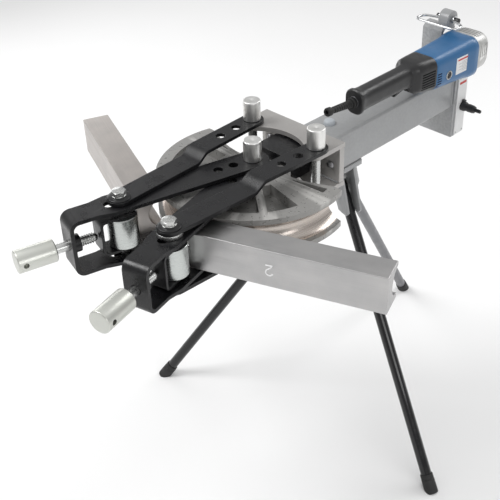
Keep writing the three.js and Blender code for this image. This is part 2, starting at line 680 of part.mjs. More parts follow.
// The moulded housing swells a little from the handle to the gear head.
function buildMotorHousing() {
  const { x, z, half, corner, housingFront, housingRear, rearHalf, rearZ } = motor;
  const front = barAlongY(x, z, housingFront, housingFront + 4, half, half, corner);
  const rear = barAlongY(x, rearZ, housingRear - 12, housingRear, rearHalf, rearHalf, corner);
  const capStart = x + motor.half - 6;
  const capHole = rod([capStart, brush.y, brush.z], [capStart + 20, brush.y, brush.z], 11);
  addPiece('motor_housing', cut(wasm.Manifold.hull([front, rear]), capHole), looks.bluePlastic);

  const cap = rod([capStart + fit, brush.y, brush.z], [capStart + 8.5, brush.y, brush.z], 10);
  addPiece('brush_cap', cap, looks.blackPlastic);
}

function buildGearHead() {
  const { x, housingRear, headRear, headHalf, headZ, headCorner } = motor;
  const casting = barAlongY(x, headZ, housingRear + fit, headRear, headHalf, headHalf, headCorner);
  const ribs = [0, 1, 2].map((i) => block(
    [x - 60, x + 60], [housingRear + 9 + i * 12, housingRear + 13 + i * 12],
    [headZ + headHalf - 4, headZ + headHalf + 40],
  ));
  const inside = headZ - headHalf + 12;
  const output = upright(spindle.x, spindle.y, gearbox.top - 22, inside, spindle.radius);
  const flange = upright(spindle.x, spindle.y, gearbox.top + fit, inside, spindle.flange);
  addPiece('motor_gear_head', joined(cut(casting, ...ribs), output, flange), looks.castAluminium);
}

function buildMotorHandle() {
  const { z, end, switchFront, switchZ } = handle;
  const { x } = motor;
  const grip = barAlongY(x, z, end + 5, switchFront + 10, 21, 24, 18);
  const endFlange = barAlongY(x, z - 2, end, end + 6, 25, 29, 20);
  const switchBody = barAlongY(x, switchZ, switchFront, motor.housingFront - fit, 36, 37, 20);
  const guardHole = rod([x, end - 1, z], [x, end + 14, z], clearOf(9));
  const pocket = block(
    [x - 9, x + 9], [triggerPivot.y - 58, triggerPivot.y + 8], [z - 60, z - 13],
  );
  const whole = joined(grip, endFlange, switchBody);
  addPiece('motor_handle', cut(whole, guardHole, pocket), looks.blackPlastic);
}

// A thin blade that hangs forward under the grip.
function buildTrigger() {
  const { y, z } = triggerPivot;
  const blade = acrossX(outline([
    [y + 2, z + 3], [y + 2, z - 6], [y - 30, z - 12], [y - 46, z - 17],
    [y - 52, z - 15], [y - 48, z - 10], [y - 30, z - 6], [y - 8, z + 2],
  ]), motor.x - 7, motor.x + 7);
  addPiece('trigger', blade, looks.blackPlastic);
}

// The guard leaves the handle and rises slightly to an open mouth.
function buildCordGuard() {
  const { x } = motor;
  const { z, end } = handle;
  const { length, rise, rootRadius, tipRadius, mouthRadius, bore } = cordGuard;
  const at = (out) => [x, end - out, z + (rise * out) / length];
  const root = rod([x, end + 12, z], at(6), rootRadius);
  const guard = rod(at(4), at(length - 8), rootRadius, tipRadius);
  const collar = rod(at(2), at(9), 12);
  const mouth = rod(at(length - 12), at(length), mouthRadius);
  const hollow = rod(at(length + 10), at(length - 30), bore);
  addPiece('cord_guard', cut(joined(root, collar, guard, mouth), hollow), looks.rubber);
}

// ---------------------------------------------------------------- tripod
const legTilt = Math.atan2(stand.spread, stand.drop);

// Each leg is drawn in the X-Z plane, running out along +X, then turned to its bearing.
function onBearing(solid, index) {
  return solid.rotate([0, 0, stand.firstBearing + index * 120]).translate([0, stand.y, 0]);
}

function alongLeg(distance) {
  return [distance * Math.sin(legTilt), 0, stand.apex - distance * Math.cos(legTilt)];
}

function buildStand() {
  const base = upright(0, stand.y, fork.top - 2, beam.bottom - fit, fork.base, 6);
  const boss = upright(0, stand.y, fork.top - fork.bossDepth, fork.top, 24);
  let bracket = joined(base, boss);
  const cheekShape = outline([
    [8, fork.top - 0.5], [fork.base - 8, fork.top - 0.5], [84, fork.bottom + 10],
    [76, fork.bottom], [44, fork.bottom], [8, fork.top - 46],
  ]);
  for (let i = 0; i < 3; i += 1) {
    const cheeks = [-1, 1].map((sign) => {
      const mid = sign * (fork.gap + fork.cheek / 2);
      const cheek = acrossX(cheekShape, -fork.cheek / 2, fork.cheek / 2);
      return cheek.rotate([0, 0, -90]).translate([0, mid, 0]);
    });
    bracket = joined(bracket, ...cheeks.map((cheek) => onBearing(cheek, i)));
  }
  for (let i = 0; i < 3; i += 1) {
    const [bx, , bz] = alongLeg(leg.boltAt);
    const bore = rod([bx, -40, bz], [bx, 40, bz], clearOf(leg.boltRadius));
    bracket = cut(bracket, onBearing(bore, i));
  }
  addPiece('stand_bracket', bracket, looks.greyPaint);
}

const legNames = ['rear', 'front_left', 'front_right'];
const legLength = Math.hypot(stand.spread, stand.drop);

function legTube() {
  const { radius, start, boltAt, boltRadius, footLength, footOverlap, facets } = leg;
  const end = alongLeg(legLength - footLength + footOverlap);
  const [bx, , bz] = alongLeg(boltAt);
  const eye = rod([bx, -40, bz], [bx, 40, bz], clearOf(boltRadius));
  return cut(rod(alongLeg(start), end, radius, radius, facets), eye);
}

function legBolt() {
  const half = fork.gap + fork.cheek;
  const [bx, , bz] = alongLeg(leg.boltAt);
  const shank = rod([bx, -half - 6, bz], [bx, half + 2, bz], leg.boltRadius);
  const hex = rod([bx, half + fit, bz], [bx, half + 6, bz], 9, 9, 6);
  const nut = rod([bx, -half - fit, bz], [bx, -half - 8, bz], 9, 9, 6);
  return joined(shank, hex, nut);
}

// A rubber cup over the end of the leg, cut level with the floor.
function legFoot() {
  const { radius, footLength, footRadius, footOverlap, facets } = leg;
  const top = legLength - footLength;
  const cup = rod(alongLeg(top), alongLeg(legLength + 6), footRadius - 1, footRadius, facets);
  const wellRadius = clearOf(radius, facets);
  const wellEnd = alongLeg(top + footOverlap + fit);
  const well = rod(alongLeg(top - 1), wellEnd, wellRadius, wellRadius, facets);
  const floor = stand.apex - stand.drop;
  const below = block([-900, 900], [-900, 900], [floor - 60, floor]);
  return cut(cup, well, below);
}

function buildLegs() {
  legNames.forEach((name, index) => {
    const look = name === 'rear' ? looks.darkSteel : looks.blackPaint;
    addPiece(`leg_${name}`, onBearing(legTube(), index), look);
    addPiece(`leg_bolt_${name}`, onBearing(legBolt(), index), looks.zinc);
    addPiece(`foot_${name}`, onBearing(legFoot(), index), looks.rubber);
  });
}

// ---------------------------------------------------------------- assembly
buildHead();
buildPins();
buildDie();
buildRam();
for (const side of sides) {
  buildYoke(side);
  buildRoller(side);
  buildCradle(side);
  buildClamp(side);
  buildFollowBar(side);
  buildLink(side, `link_${side.name}_top`, upperLink);
  buildLink(side, `link_${side.name}_bottom`, lowerLink);
}
buildSpacer(sides[1]);
buildBeam();
buildGearbox();
buildSelector();
buildCarryingHandle();
buildMotor();
buildStand();
buildLegs();

const reach = new THREE.Box3().setFromObject(machine);
const middle = reach.getCenter(new THREE.Vector3());
for (const piece of machine.children) {
  piece.geometry.translate(-middle.x, -middle.y, -reach.min.z);
}

export default machine;
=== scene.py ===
"""Looks of the powered tube bender on its tripod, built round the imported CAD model.

Places and outer sizes come from the CAD nodes, and a piece that stands on a slant is measured
in a frame of its own (see `measured`). The finer shapes are written here in millimetres.
Metres, +Y from the bending head to the motor, +Z up.
"""
import json
import math

import bmesh
import bpy
from mathutils import Matrix, Vector


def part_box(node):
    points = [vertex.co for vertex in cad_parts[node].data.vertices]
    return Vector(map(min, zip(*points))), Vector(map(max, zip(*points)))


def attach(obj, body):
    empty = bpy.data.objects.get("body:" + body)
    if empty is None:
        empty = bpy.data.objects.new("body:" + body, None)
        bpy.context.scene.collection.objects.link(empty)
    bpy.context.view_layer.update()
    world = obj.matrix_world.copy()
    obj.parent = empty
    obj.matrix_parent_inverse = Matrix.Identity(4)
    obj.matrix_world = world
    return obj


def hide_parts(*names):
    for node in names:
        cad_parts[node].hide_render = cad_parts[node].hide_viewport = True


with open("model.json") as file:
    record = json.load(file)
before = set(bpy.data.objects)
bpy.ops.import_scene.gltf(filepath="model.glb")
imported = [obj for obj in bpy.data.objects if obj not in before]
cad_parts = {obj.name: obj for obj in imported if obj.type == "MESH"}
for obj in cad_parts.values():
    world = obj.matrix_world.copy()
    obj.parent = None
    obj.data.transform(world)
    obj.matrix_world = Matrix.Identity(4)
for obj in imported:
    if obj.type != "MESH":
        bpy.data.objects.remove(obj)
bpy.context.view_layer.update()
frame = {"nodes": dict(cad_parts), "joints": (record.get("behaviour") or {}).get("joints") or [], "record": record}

MM = 0.001
UP = Vector((0, 0, 1))
REARWARD = Vector((0, 1, 0))
RIGHTWARD = Vector((1, 0, 0))
ROUND = 72                      # facets round a large turned piece
SMALL_ROUND = 40                # facets round a small one
record = frame["record"]
BODY_OF = {node: body for body, nodes in record["behaviour"]["bodies"].items() for node in nodes}


# --- places and measures
def matrix_of(origin, x, y, z):
    return Matrix.Translation(Vector(origin)) @ Matrix((x, y, z)).transposed().to_4x4()


def frame_of(origin, along):
    """A frame at `origin` whose Z runs `along`; its X lies as near upright as it can."""
    z = Vector(along).normalized()
    hint = UP if abs(z.z) < 0.9 else RIGHTWARD
    x = (hint - z * hint.dot(z)).normalized()
    return matrix_of(origin, x, z.cross(x), z)


def rearward_frame(centre, y):
    """Z runs to the rear from y, on the line through `centre`."""
    return frame_of((centre.x, y, centre.z), REARWARD)


def rightward_frame(centre, x):
    """Z runs to the right from x, on the line through `centre`."""
    return frame_of((x, centre.y, centre.z), RIGHTWARD)


def turned_about_z(origin, angle):
    return Matrix.Translation(Vector(origin)) @ Matrix.Rotation(angle, 4, "Z")


def measured(node, place):
    """Lowest and highest corners of a CAD node, measured in the frame `place`."""
    inverse = place.inverted()
    points = [inverse @ v.co for v in frame["nodes"][node].data.vertices]
    low = Vector(min(p[i] for p in points) for i in range(3))
    high = Vector(max(p[i] for p in points) for i in range(3))
    return low, high


def middle(node):
    low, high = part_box(node)
    return (low + high) / 2


def nearest(node, point):
    """Distance in plan from a point to the nearest corner of a CAD node."""
    corners = (v.co for v in frame["nodes"][node].data.vertices)
    return min(math.hypot(corner.x - point.x, corner.y - point.y) for corner in corners)


def upright_place(node):
    centre = middle(node)
    return Matrix.Translation((centre.x, centre.y, 0))


# --- camera
LENS = 68.1768                  # millimetres, on a sensor 36 mm wide
CAMERA_PLACE = Vector((1.2197, -1.2682, 1.7261))
CAMERA_YAW, CAMERA_PITCH, CAMERA_ROLL = (math.radians(a) for a in (46.78, 35.08, -2.2))


def make_camera():
    yaw, pitch, roll = CAMERA_YAW, CAMERA_PITCH, CAMERA_ROLL
    back = Vector((math.sin(yaw) * math.cos(pitch), -math.cos(yaw) * math.cos(pitch), math.sin(pitch)))
    level = Vector((math.cos(yaw), math.sin(yaw), 0))
    upward = back.cross(level)
    right = level * math.cos(roll) + upward * math.sin(roll)
    top = upward * math.cos(roll) - level * math.sin(roll)
    data = bpy.data.cameras.new("camera")
    data.sensor_width = 36
    data.lens = LENS
    data.clip_end = 50
    camera = bpy.data.objects.new("camera", data)
    camera.matrix_world = matrix_of(CAMERA_PLACE, right, top, back)
    bpy.context.scene.collection.objects.link(camera)
    bpy.context.scene.camera = camera


# --- solids
def arc(centre, radius, start, end, steps=12):
    """Points on an arc, angles in degrees."""
    angles = [math.radians(start + (end - start) * i / steps) for i in range(steps + 1)]
    return [(centre[0] + radius * math.cos(a), centre[1] + radius * math.sin(a)) for a in angles]


def solid(mesh, place=None):
    """Turns a bmesh into an object in the scene, moved to its place."""
    bmesh.ops.recalc_face_normals(mesh, faces=mesh.faces)
    data = bpy.data.meshes.new("solid")
    mesh.to_mesh(data)
    mesh.free()
    if place is not None:
        data.transform(place)
    thing = bpy.data.objects.new("solid", data)
    bpy.context.scene.collection.objects.link(thing)
    return thing


def bridge(mesh, rings):
    """Walls between rings of equal count, one after the other, and a lid on each end."""
    for lower, upper in zip(rings, rings[1:]):
        for i in range(len(lower)):
            j = (i + 1) % len(lower)
            mesh.faces.new((lower[i], lower[j], upper[j], upper[i]))
    mesh.faces.new(rings[0][::-1])
    mesh.faces.new(rings[-1])


def loft(sections, place=None):
    """A skin through outlines of equal count, each given as a list of points."""
    mesh = bmesh.new()
    bridge(mesh, [[mesh.verts.new(point) for point in section] for section in sections])
    return solid(mesh, place)


def prism(outline, low, high, place=None):
    """A flat outline in X and Y carried from z = low to z = high."""
    return loft([[(x, y, z) for x, y in outline] for z in (low, high)], place)


def lathe(profile, place=None, facets=ROUND):
    """(radius, height) pairs turned about Z; they start and end on the axis, or close on themselves."""
    mesh = bmesh.new()
    rings = []
    for radius, height in profile:
        if radius < 1e-7:
            rings.append([mesh.verts.new((0, 0, height))])
            continue
        angles = [2 * math.pi * i / facets for i in range(facets)]
        rings.append([mesh.verts.new((radius * math.cos(a), radius * math.sin(a), height)) for a in angles])
    open_ended = len(rings[0]) > 1
    pairs = list(zip(rings, rings[1:])) + ([(rings[-1], rings[0])] if open_ended else [])
    for lower, upper in pairs:
        for i in range(facets):
            j = (i + 1) % facets
            corners = [ring[k % len(ring)] for ring, k in ((lower, i), (lower, j), (upper, j), (upper, i))]
            unique = [v for k, v in enumerate(corners) if v not in corners[:k]]
            if len(unique) > 2:
                mesh.faces.new(unique)
    return solid(mesh, place)


def cylinder(radius, low, high, place=None, facets=SMALL_ROUND):
    return lathe([(0, low), (radius, low), (radius, high), (0, high)], place, facets)


def drill(radius, low, high, place, x=0, facets=SMALL_ROUND):
    """A tool for a hole right through a piece that reaches from low to high."""
    return cylinder(radius, low.z - MM, high.z + MM, place @ Matrix.Translation((x, 0, 0)), facets)


def punch(outline, low, high, place):
    """A tool of any outline that goes right through a piece from low to high."""
    return prism(outline, low.z - MM, high.z + MM, place)


def turned(points, base=0):
    """A profile written in millimetres, its heights counted from `base`."""
    return [(radius * MM, base + height * MM) for radius, height in points]


def crowned(radius, low, high, edge, bottom_edge=None):
    """Profile of a turned cylinder whose end corners are rounded."""
    foot = edge if bottom_edge is None else bottom_edge
    lower = [(radius - foot + x, low + foot + y) for x, y in arc((0, 0), foot, -90, 0, 5)]
    upper = [(radius - edge + x, high - edge + y) for x, y in arc((0, 0), edge, 0, 90, 5)]
    return [(0, low), *lower, *upper, (0, high)]


def bored(profile, bore):
    """The same turned profile with a hole along its axis."""
    return [(bore, profile[0][1]), *profile[1:-1], (bore, profile[-1][1])]


def box(low, high, place=None):
    outline = [(low[0], low[1]), (high[0], low[1]), (high[0], high[1]), (low[0], high[1])]
    return prism(outline, low[2], high[2], place)


def rounded_rectangle(half_x, half_y, corner, steps=8):
    x, y = half_x - corner, half_y - corner
    return (arc((x, y), corner, 0, 90, steps) + arc((-x, y), corner, 90, 180, steps)
            + arc((-x, -y), corner, 180, 270, steps) + arc((x, -y), corner, 270, 360, steps))


def wire(points, radius, sides=16):
    """A round wire along points."""
    mesh = bmesh.new()
    points = [Vector(p) for p in points]
    rings = []
    side_hint = UP
    for before, point, after in zip(points[:1] + points, points, points[1:] + points[-1:]):
        along = (after - before).normalized()
        across = (side_hint - along * side_hint.dot(along)).normalized()
        other = along.cross(across)
        side_hint = across
        angles = [2 * math.pi * k / sides for k in range(sides)]
        outward = [across * math.cos(a) + other * math.sin(a) for a in angles]
        rings.append([mesh.verts.new(point + way * radius) for way in outward])
    bridge(mesh, rings)
    return solid(mesh)


def thread(radius, depth, pitch, low, high, place, facets=48):
    """A screw with a true helical thread, its ends closed."""
    rows = max(2, int((high - low) / pitch * 8))
    mesh = bmesh.new()
    rings = []
    for row in range(rows + 1):
        height = low + (high - low) * row / rows
        ring = []
        for k in range(facets):
            phase = (height / pitch - k / facets) % 1
            crest = min(1, 2.4 * min(phase, 1 - phase))
            r = radius - depth * (1 - crest)
            angle = 2 * math.pi * k / facets
            ring.append(mesh.verts.new((r * math.cos(angle), r * math.sin(angle), height)))
        rings.append(ring)
    bridge(mesh, rings)
    return solid(mesh, place)


def baked(thing):
    """Makes the shape that the modifiers give the shape of the mesh itself."""
    graph = bpy.context.evaluated_depsgraph_get()
    data = bpy.data.meshes.new_from_object(thing.evaluated_get(graph))
    thing.modifiers.clear()
    thing.data = data
    return thing


def combined(thing, others, operation):
    for other in others:
        step = thing.modifiers.new("boolean", "BOOLEAN")
        step.object = other
        step.operation = operation
        step.solver = "EXACT"
        bpy.context.view_layer.update()
        baked(thing)
        bpy.data.objects.remove(other)
    return thing


def cut(thing, *tools):
    return combined(thing, tools, "DIFFERENCE")


def joined(thing, *others):
    return combined(thing, others, "UNION")


def common(thing, *others):
    return combined(thing, others, "INTERSECT")


def copied(node):
    """The CAD node's own solid, cleaned so that its flat faces are single faces."""
    mesh = bmesh.new()
    mesh.from_mesh(frame["nodes"][node].data)
    bmesh.ops.remove_doubles(mesh, verts=mesh.verts, dist=1e-5)
    bmesh.ops.dissolve_limit(mesh, angle_limit=math.radians(1), verts=mesh.verts, edges=mesh.edges)
    return solid(mesh)


# --- pieces
def piece(name, thing, material, node, replaced=(), edge=0.8 * MM, segments=2, limit=32):
    """Names a finished solid, gives it its material and body, and rounds its corners."""
    thing.name = name
    thing.data.name = name
    thing.data.materials.clear()
    thing.data.materials.append(material)
    thing.data.shade_smooth()
    if edge:
        bevel = thing.modifiers.new("edges", "BEVEL")
        bevel.width = edge
        bevel.segments = segments
        bevel.limit_method = "ANGLE"
        bevel.angle_limit = math.radians(limit)
        bevel.harden_normals = True
    else:
        thing.data.set_sharp_from_angle(angle=math.radians(limit))
    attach(thing, BODY_OF[node])
    if replaced:
        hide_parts(*replaced)
    return thing


def detail(name, thing, material, node, limit=32):
    """A small piece that rides on a CAD node and takes nothing's place."""
    return piece(name, thing, material, node, edge=0, limit=limit)


def stands_for(name, thing, material, edge=0.8 * MM, **more):
    """A piece that takes the place of the CAD node of nearly the same name."""
    return piece(f"{name}_shape", thing, material, name, (name,), edge, **more)


def as_drawn(node, material, edge, **more):
    """A CAD node's own shape with softened edges."""
    return stands_for(node, copied(node), material, edge, **more)


# --- materials
class Shader:
    """A principled material being wired up, with short calls for the nodes it needs."""

    def __init__(self, name, metallic, roughness, **constants):
        self.material = bpy.data.materials.new(name)
        self.material.use_nodes = True
        self.tree = self.material.node_tree
        self.surface = self.tree.nodes["Principled BSDF"]
        self.fill(self.surface, {"Metallic": metallic, "Roughness": roughness, **constants})
        self.place = self.node("ShaderNodeTexCoord", "Object")

    def fill(self, node, inputs):
        """Sets each input to its value, or links it when the value is another node's output."""
        for name, value in inputs.items():
            if isinstance(value, bpy.types.NodeSocket):
                self.tree.links.new(value, node.inputs[name])
            else:
                node.inputs[name].default_value = value

    def node(self, kind, output, inputs=None, **settings):
        """Adds a node, fills its inputs and gives back one of its outputs."""
        node = self.tree.nodes.new(kind)
        for key, value in settings.items():
            setattr(node, key, value)
        self.fill(node, inputs or {})
        return node.outputs[output]

    def maths(self, operation, first, second, output="Value", kind="ShaderNodeVectorMath"):
        return self.node(kind, output, {0: first, 1: second}, operation=operation)

    def stretched(self, turn, stretch):
        """Coordinates turned and then stretched along their own axes."""
        inputs = {"Vector": self.place, "Rotation": turn, "Scale": stretch}
        return self.node("ShaderNodeMapping", "Vector", inputs, vector_type="TEXTURE")

    def rings(self, place):
        """Coordinates that change only with distance from an axis and along it."""
        inverse = place.inverted()
        inputs = {"Vector": self.place, "Rotation": inverse.to_euler("XYZ"),
                  "Location": inverse.to_translation()}
        local = self.node("ShaderNodeMapping", "Vector", inputs, vector_type="POINT")
        height = self.maths("DOT_PRODUCT", local, UP)
        distance = self.maths("DISTANCE", self.maths("MULTIPLY", local, (1, 1, 0), "Vector"), (0, 0, 0))
        return self.node("ShaderNodeCombineXYZ", "Vector", {"X": distance, "Z": height})

    def noise(self, scale, detail=3, rough=0.5, vector=None):
        inputs = {"Scale": scale, "Detail": detail, "Roughness": rough, "Vector": vector or self.place}
        return self.node("ShaderNodeTexNoise", "Fac", inputs)

    def between(self, factor, low, high, start=0.35, end=0.65):
        """Maps a 0 to 1 factor onto low..high, taking start..end of it."""
        inputs = {"Value": factor, "From Min": start, "From Max": end, "To Min": low, "To Max": high}
        return self.node("ShaderNodeMapRange", "Result", inputs)

    def blend(self, factor, first, second):
        """Mixes two colours, each an RGB triple or a socket, by a factor."""
        first, second = ((*c, 1) if isinstance(c, tuple) else c for c in (first, second))
        inputs = {"Factor": factor, "A": first, "B": second}
        return self.node("ShaderNodeMix", "Result", inputs, data_type="RGBA")

    # a mask of convex edges, from pointiness: rubbed paint in enamel, a painted edge highlight in cast
    def convex_edges(self, start=0.52, end=0.62):
        return self.between(self.node("ShaderNodeNewGeometry", "Pointiness"), 0, 1, start, end)

    def near_point(self, point, reach):
        """One near a point, falling to nought at `reach`, broken up by noise."""
        ragged = self.maths("MULTIPLY", self.noise(70, 5, 0.6), reach * 0.4, kind="ShaderNodeMath")
        distance = self.maths("DISTANCE", self.place, point)
        strayed = self.maths("ADD", ragged, distance, kind="ShaderNodeMath")
        return self.between(strayed, 1, 0, reach * 0.5, reach)

    def bump(self, height, strength, depth, **before):
        inputs = {"Height": height, "Strength": strength, "Distance": depth, **before}
        return self.node("ShaderNodeBump", "Normal", inputs)

    def finished(self, colour, roughness, normal):
        self.fill(self.surface, {"Base Color": colour, "Roughness": roughness, "Normal": normal})
        return self.material


def tinted(colour, factor):
    return tuple(min(1.0, c * factor) for c in colour)


def enamel(name, colour, roughness, peel, coat=0.0, wear=0.0, shine=0.5, coat_roughness=0.12):
    """Sprayed or powdered paint: cloudy colour, orange peel and lighter worn corners."""
    gloss = {"Coat Weight": coat, "Coat Roughness": coat_roughness, "Specular IOR Level": shine}
    s = Shader(name, 0, roughness, **gloss)
    cloudy = s.blend(s.noise(14, 4), tinted(colour, 0.9), tinted(colour, 1.1))
    patches = s.between(s.noise(160, 4), 0, wear)
    rubbed = s.maths("MULTIPLY", s.convex_edges(), patches, kind="ShaderNodeMath")
    return s.finished(s.blend(rubbed, cloudy, (0.5, 0.5, 0.5)),
                      s.between(s.noise(35, 5), roughness - 0.07, roughness + 0.09),
                      s.bump(s.noise(750, 2), peel, 0.00025))


def bare_metal(name, colour, roughness, vector_of=None, grain=900, cloud=0.08, tint=(1, 1, 1),
               scratch=0.12):
    """Plain or machined metal; vector_of gives the direction of its tool marks."""
    s = Shader(name, 1, roughness)
    marks = s.noise(grain, 3, 0.6, vector_of(s) if vector_of else None)
    warm = tuple(c * t for c, t in zip(colour, tint))
    return s.finished(s.blend(s.noise(22, 5), tinted(colour, 1 - cloud), warm),
                      s.between(marks, roughness - 0.07, roughness + 0.1),
                      s.bump(marks, scratch, 0.0002))


def machined_along(angle):
    """Tool marks that run level at `angle` from +X."""
    return lambda s: s.stretched((0, 0, angle), (60, 1, 1))


def turned_round(place):
    """Tool marks that run round the Z axis of `place`."""
    return lambda s: s.rings(place)


def cast(name, colour, roughness, metallic, brown_patch_at=None):
    """Sand-cast aluminium whose convex edges are lightened as a painted edge highlight, with an optional brown
    patch near a point.
    """
    s = Shader(name, metallic, roughness)
    skin = s.blend(s.noise(30, 6, 0.65), tinted(colour, 0.82), tinted(colour, 1.12))
    # painted edge highlight: every convex edge is lightened to 1.7 times the skin colour
    edge_highlit_colour = s.blend(s.convex_edges(0.52, 0.6), skin, tinted(colour, 1.7))
    if brown_patch_at:
        # a brown patch near a point: the skin turns brown there and fades back out at the edge of its reach
        edge_highlit_colour = s.blend(s.near_point(brown_patch_at, 0.045), edge_highlit_colour, (0.30, 0.20, 0.13))
    fine = s.bump(s.noise(420, 3, 0.6), 0.35, 0.0004)
    return s.finished(edge_highlit_colour, s.between(s.noise(120, 4), roughness - 0.1, roughness + 0.12),
                      s.bump(s.noise(60, 3), 0.12, 0.0012, Normal=fine))


def moulded(name, colour, roughness, grain, coat=0.0):
    """Injection-moulded plastic with a spark-eroded texture."""
    s = Shader(name, 0, roughness, **{"Coat Weight": coat})
    return s.finished(s.blend(s.noise(18, 3), tinted(colour, 0.92), tinted(colour, 1.08)),
                      s.between(s.noise(50, 4), roughness - 0.06, roughness + 0.08),
                      s.bump(s.noise(1400, 2), grain, 0.00015))


grey_paint = enamel("grey_enamel", (0.30, 0.305, 0.31), 0.36, 0.2, coat=0.2, wear=0.5)
head_metal = cast("head_plate_steel", (0.33, 0.32, 0.31), 0.40, 0.45)
black_paint = enamel("black_powder_coat", (0.006, 0.006, 0.007), 0.30, 0.3, wear=0.04, shine=0.4)
black_gloss = enamel("black_gloss_enamel", (0.005, 0.005, 0.006), 0.18, 0.03, coat=0.4, shine=0.35,
                     coat_roughness=0.05)
dull_paint = enamel("rear_leg_grey", (0.16, 0.16, 0.17), 0.4, 0.2, coat=0.1, wear=0.05)
dull_steel = bare_metal("dull_steel", (0.16, 0.16, 0.17), 0.42)
zinc = bare_metal("zinc_plate", (0.64, 0.65, 0.65), 0.28, grain=500, cloud=0.12, tint=(1, 0.99, 0.96),
                  scratch=0.06)
wall_bolt_metal = bare_metal("wall_bolt_steel", (0.34, 0.34, 0.35), 0.36)
chrome = bare_metal("bright_wire", (0.62, 0.63, 0.64), 0.12, cloud=0.04, scratch=0.02)
blue_plastic = moulded("blue_nylon", (0.022, 0.118, 0.275), 0.34, 0.12, 0.15)
black_plastic = moulded("black_nylon", (0.014, 0.014, 0.015), 0.34, 0.25)
dark_slot = moulded("vent_shadow", (0.008, 0.02, 0.09), 0.5, 0.1)
rubber = moulded("black_rubber", (0.014, 0.014, 0.014), 0.6, 0.45)
white_panel = moulded("white_panel", (0.72, 0.72, 0.72), 0.45, 0.08)
plug_grey = moulded("plug_grey", (0.42, 0.45, 0.48), 0.45, 0.1)
red_print = moulded("red_print", (0.50, 0.035, 0.03), 0.45, 0.05)
grey_print = moulded("grey_print", (0.30, 0.31, 0.33), 0.5, 0.05)
bright_scribe = moulded("bright_scribe", (0.85, 0.85, 0.85), 0.5, 0.02)


# --- shared places
SIDES = {"left": -1, "right": 1}
PIPE_RADIUS = 30.15 * MM
PIN_BORE = 10.4 * MM
STRAP = 8 * MM                  # thickness of the yokes and links
GAP = 0.3 * MM                  # air between two pieces that lie against each other
pivot = middle("centre_pin")
pivot_floor = Vector((pivot.x, pivot.y, 0))
pivot_place = upright_place("centre_pin")
tube_z = middle("follow_bar_right").z


def arm_place(side):
    """X runs out along the yoke from the centre pin, Z is up."""
    roller = middle(f"roller_{side}")
    return turned_about_z(pivot_floor, math.atan2(roller.y - pivot.y, roller.x - pivot.x))


def roller_reach(side):
    roller = middle(f"roller_{side}")
    return math.hypot(roller.x - pivot.x, roller.y - pivot.y)


def clamp_place(side):
    """Z runs out along the clamp screw, from the centre pin at the height of the pipe."""
    roller = middle(f"roller_{side}")
    along = Vector((roller.x - pivot.x, roller.y - pivot.y, 0))
    return frame_of((pivot.x, pivot.y, tube_z), along)


# --- head
def weld_bead(name, start, end, node, radius=2.2 * MM):
    """A rippled fillet of weld metal between two points."""
    start, end = Vector(start), Vector(end)
    along = end - start
    count = max(8, int(along.length / (1.6 * MM)))
    ripples = [(radius * (0.86 + 0.14 * (i % 2)), along.length * (0.002 + 0.996 * i / count))
               for i in range(count + 1)]
    bead = lathe([(0, 0), *ripples, (0, along.length)], frame_of(start, along), 14)
    detail(name, bead, grey_paint, node, 60)


def make_head_plate(node):
    """A plate with two rounded front corners, a bay for the former and bores for the side pins."""
    low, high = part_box(node)
    corner = 14 * MM
    outline = [(low.x, high.y), *arc((low.x + corner, low.y + corner), corner, 180, 270),
               *arc((high.x - corner, low.y + corner), corner, 270, 360), (high.x, high.y)]
    plate = prism(outline[::-1], low.z, high.z)
    bay = drill(nearest(node, pivot), low, high, pivot_place, facets=160)
    bores = [drill(10.6 * MM, low, high, upright_place(f"side_pin_{side}")) for side in SIDES]
    stands_for(node, cut(plate, bay, *bores), head_metal, MM)


def make_head():
    make_head_plate("head_top_plate")
    make_head_plate("head_bottom_plate")
    as_drawn("head_back_wall", head_metal, 0.9 * MM)
    low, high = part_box("head_back_wall")
    margin, window = 4 * MM, 45 * MM
    y = low.y - 1.2 * MM
    spans = {"left": (low.x + margin, pivot.x - window), "right": (pivot.x + window, high.x - margin)}
    for side, (start, end) in spans.items():
        for name, z in (("upper", high.z - 1.5 * MM), ("lower", low.z + 1.5 * MM)):
            weld_bead(f"head_weld_{name}_{side}", (start, y, z), (end, y, z), "head_back_wall")


def hex_outline(radius):
    return arc((0, 0), radius, 0, 300, 5)


def hex_head(radius, low, high, place, chamfer=1.2 * MM):
    """A hexagon whose outer corners are turned off to a cone."""
    blank = prism(hex_outline(radius), low, high, place)
    wide = radius * 1.02
    outside = [(0, low - MM), (wide, low - MM), (wide, high - chamfer), (radius * 0.86, high), (0, high)]
    return common(blank, lathe(outside, place, 48))


def make_wall_bolts():
    wall_low, wall_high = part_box("head_back_wall")
    for side in SIDES:
        node = f"wall_bolt_{side}"
        low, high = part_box(node)
        place = rearward_frame(middle(node), low.y)
        front = wall_low.y - low.y - GAP
        rear = wall_high.y - low.y + GAP
        end = high.y - low.y
        dome = lathe(turned([(0, 0), (3.5, 0.8), (7, 3)]) + turned([(9, -1), (9, 0), (0, 0)], front), place)
        shank = cylinder(4.9 * MM, front - MM, end, place)
        nut = hex_head(9.5 * MM, rear, end - 0.4 * MM, place)
        stands_for(node, joined(shank, dome, nut), wall_bolt_metal, 0.4 * MM)


# --- pins
def make_knob(node):
    low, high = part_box(node)
    radius = (high.x - low.x) / 2
    place = upright_place(node)
    metal = bare_metal(f"{node}_turned", (0.88, 0.88, 0.87), 0.36, turned_round(place), 2600,
                       tint=(1, 0.995, 0.98))
    body = lathe(crowned(radius, low.z, high.z, 2.4 * MM, 0.9 * MM), place, 96)
    dimple = lathe(turned([(0, 1), (6, 1), (1.2, -1.6), (0, -1.9)], high.z), place, 48)
    socket = cylinder(8.3 * MM, low.z - MM, low.z + 19 * MM, place)
    stands_for(node, cut(body, dimple, socket), metal, 0.35 * MM, limit=40)


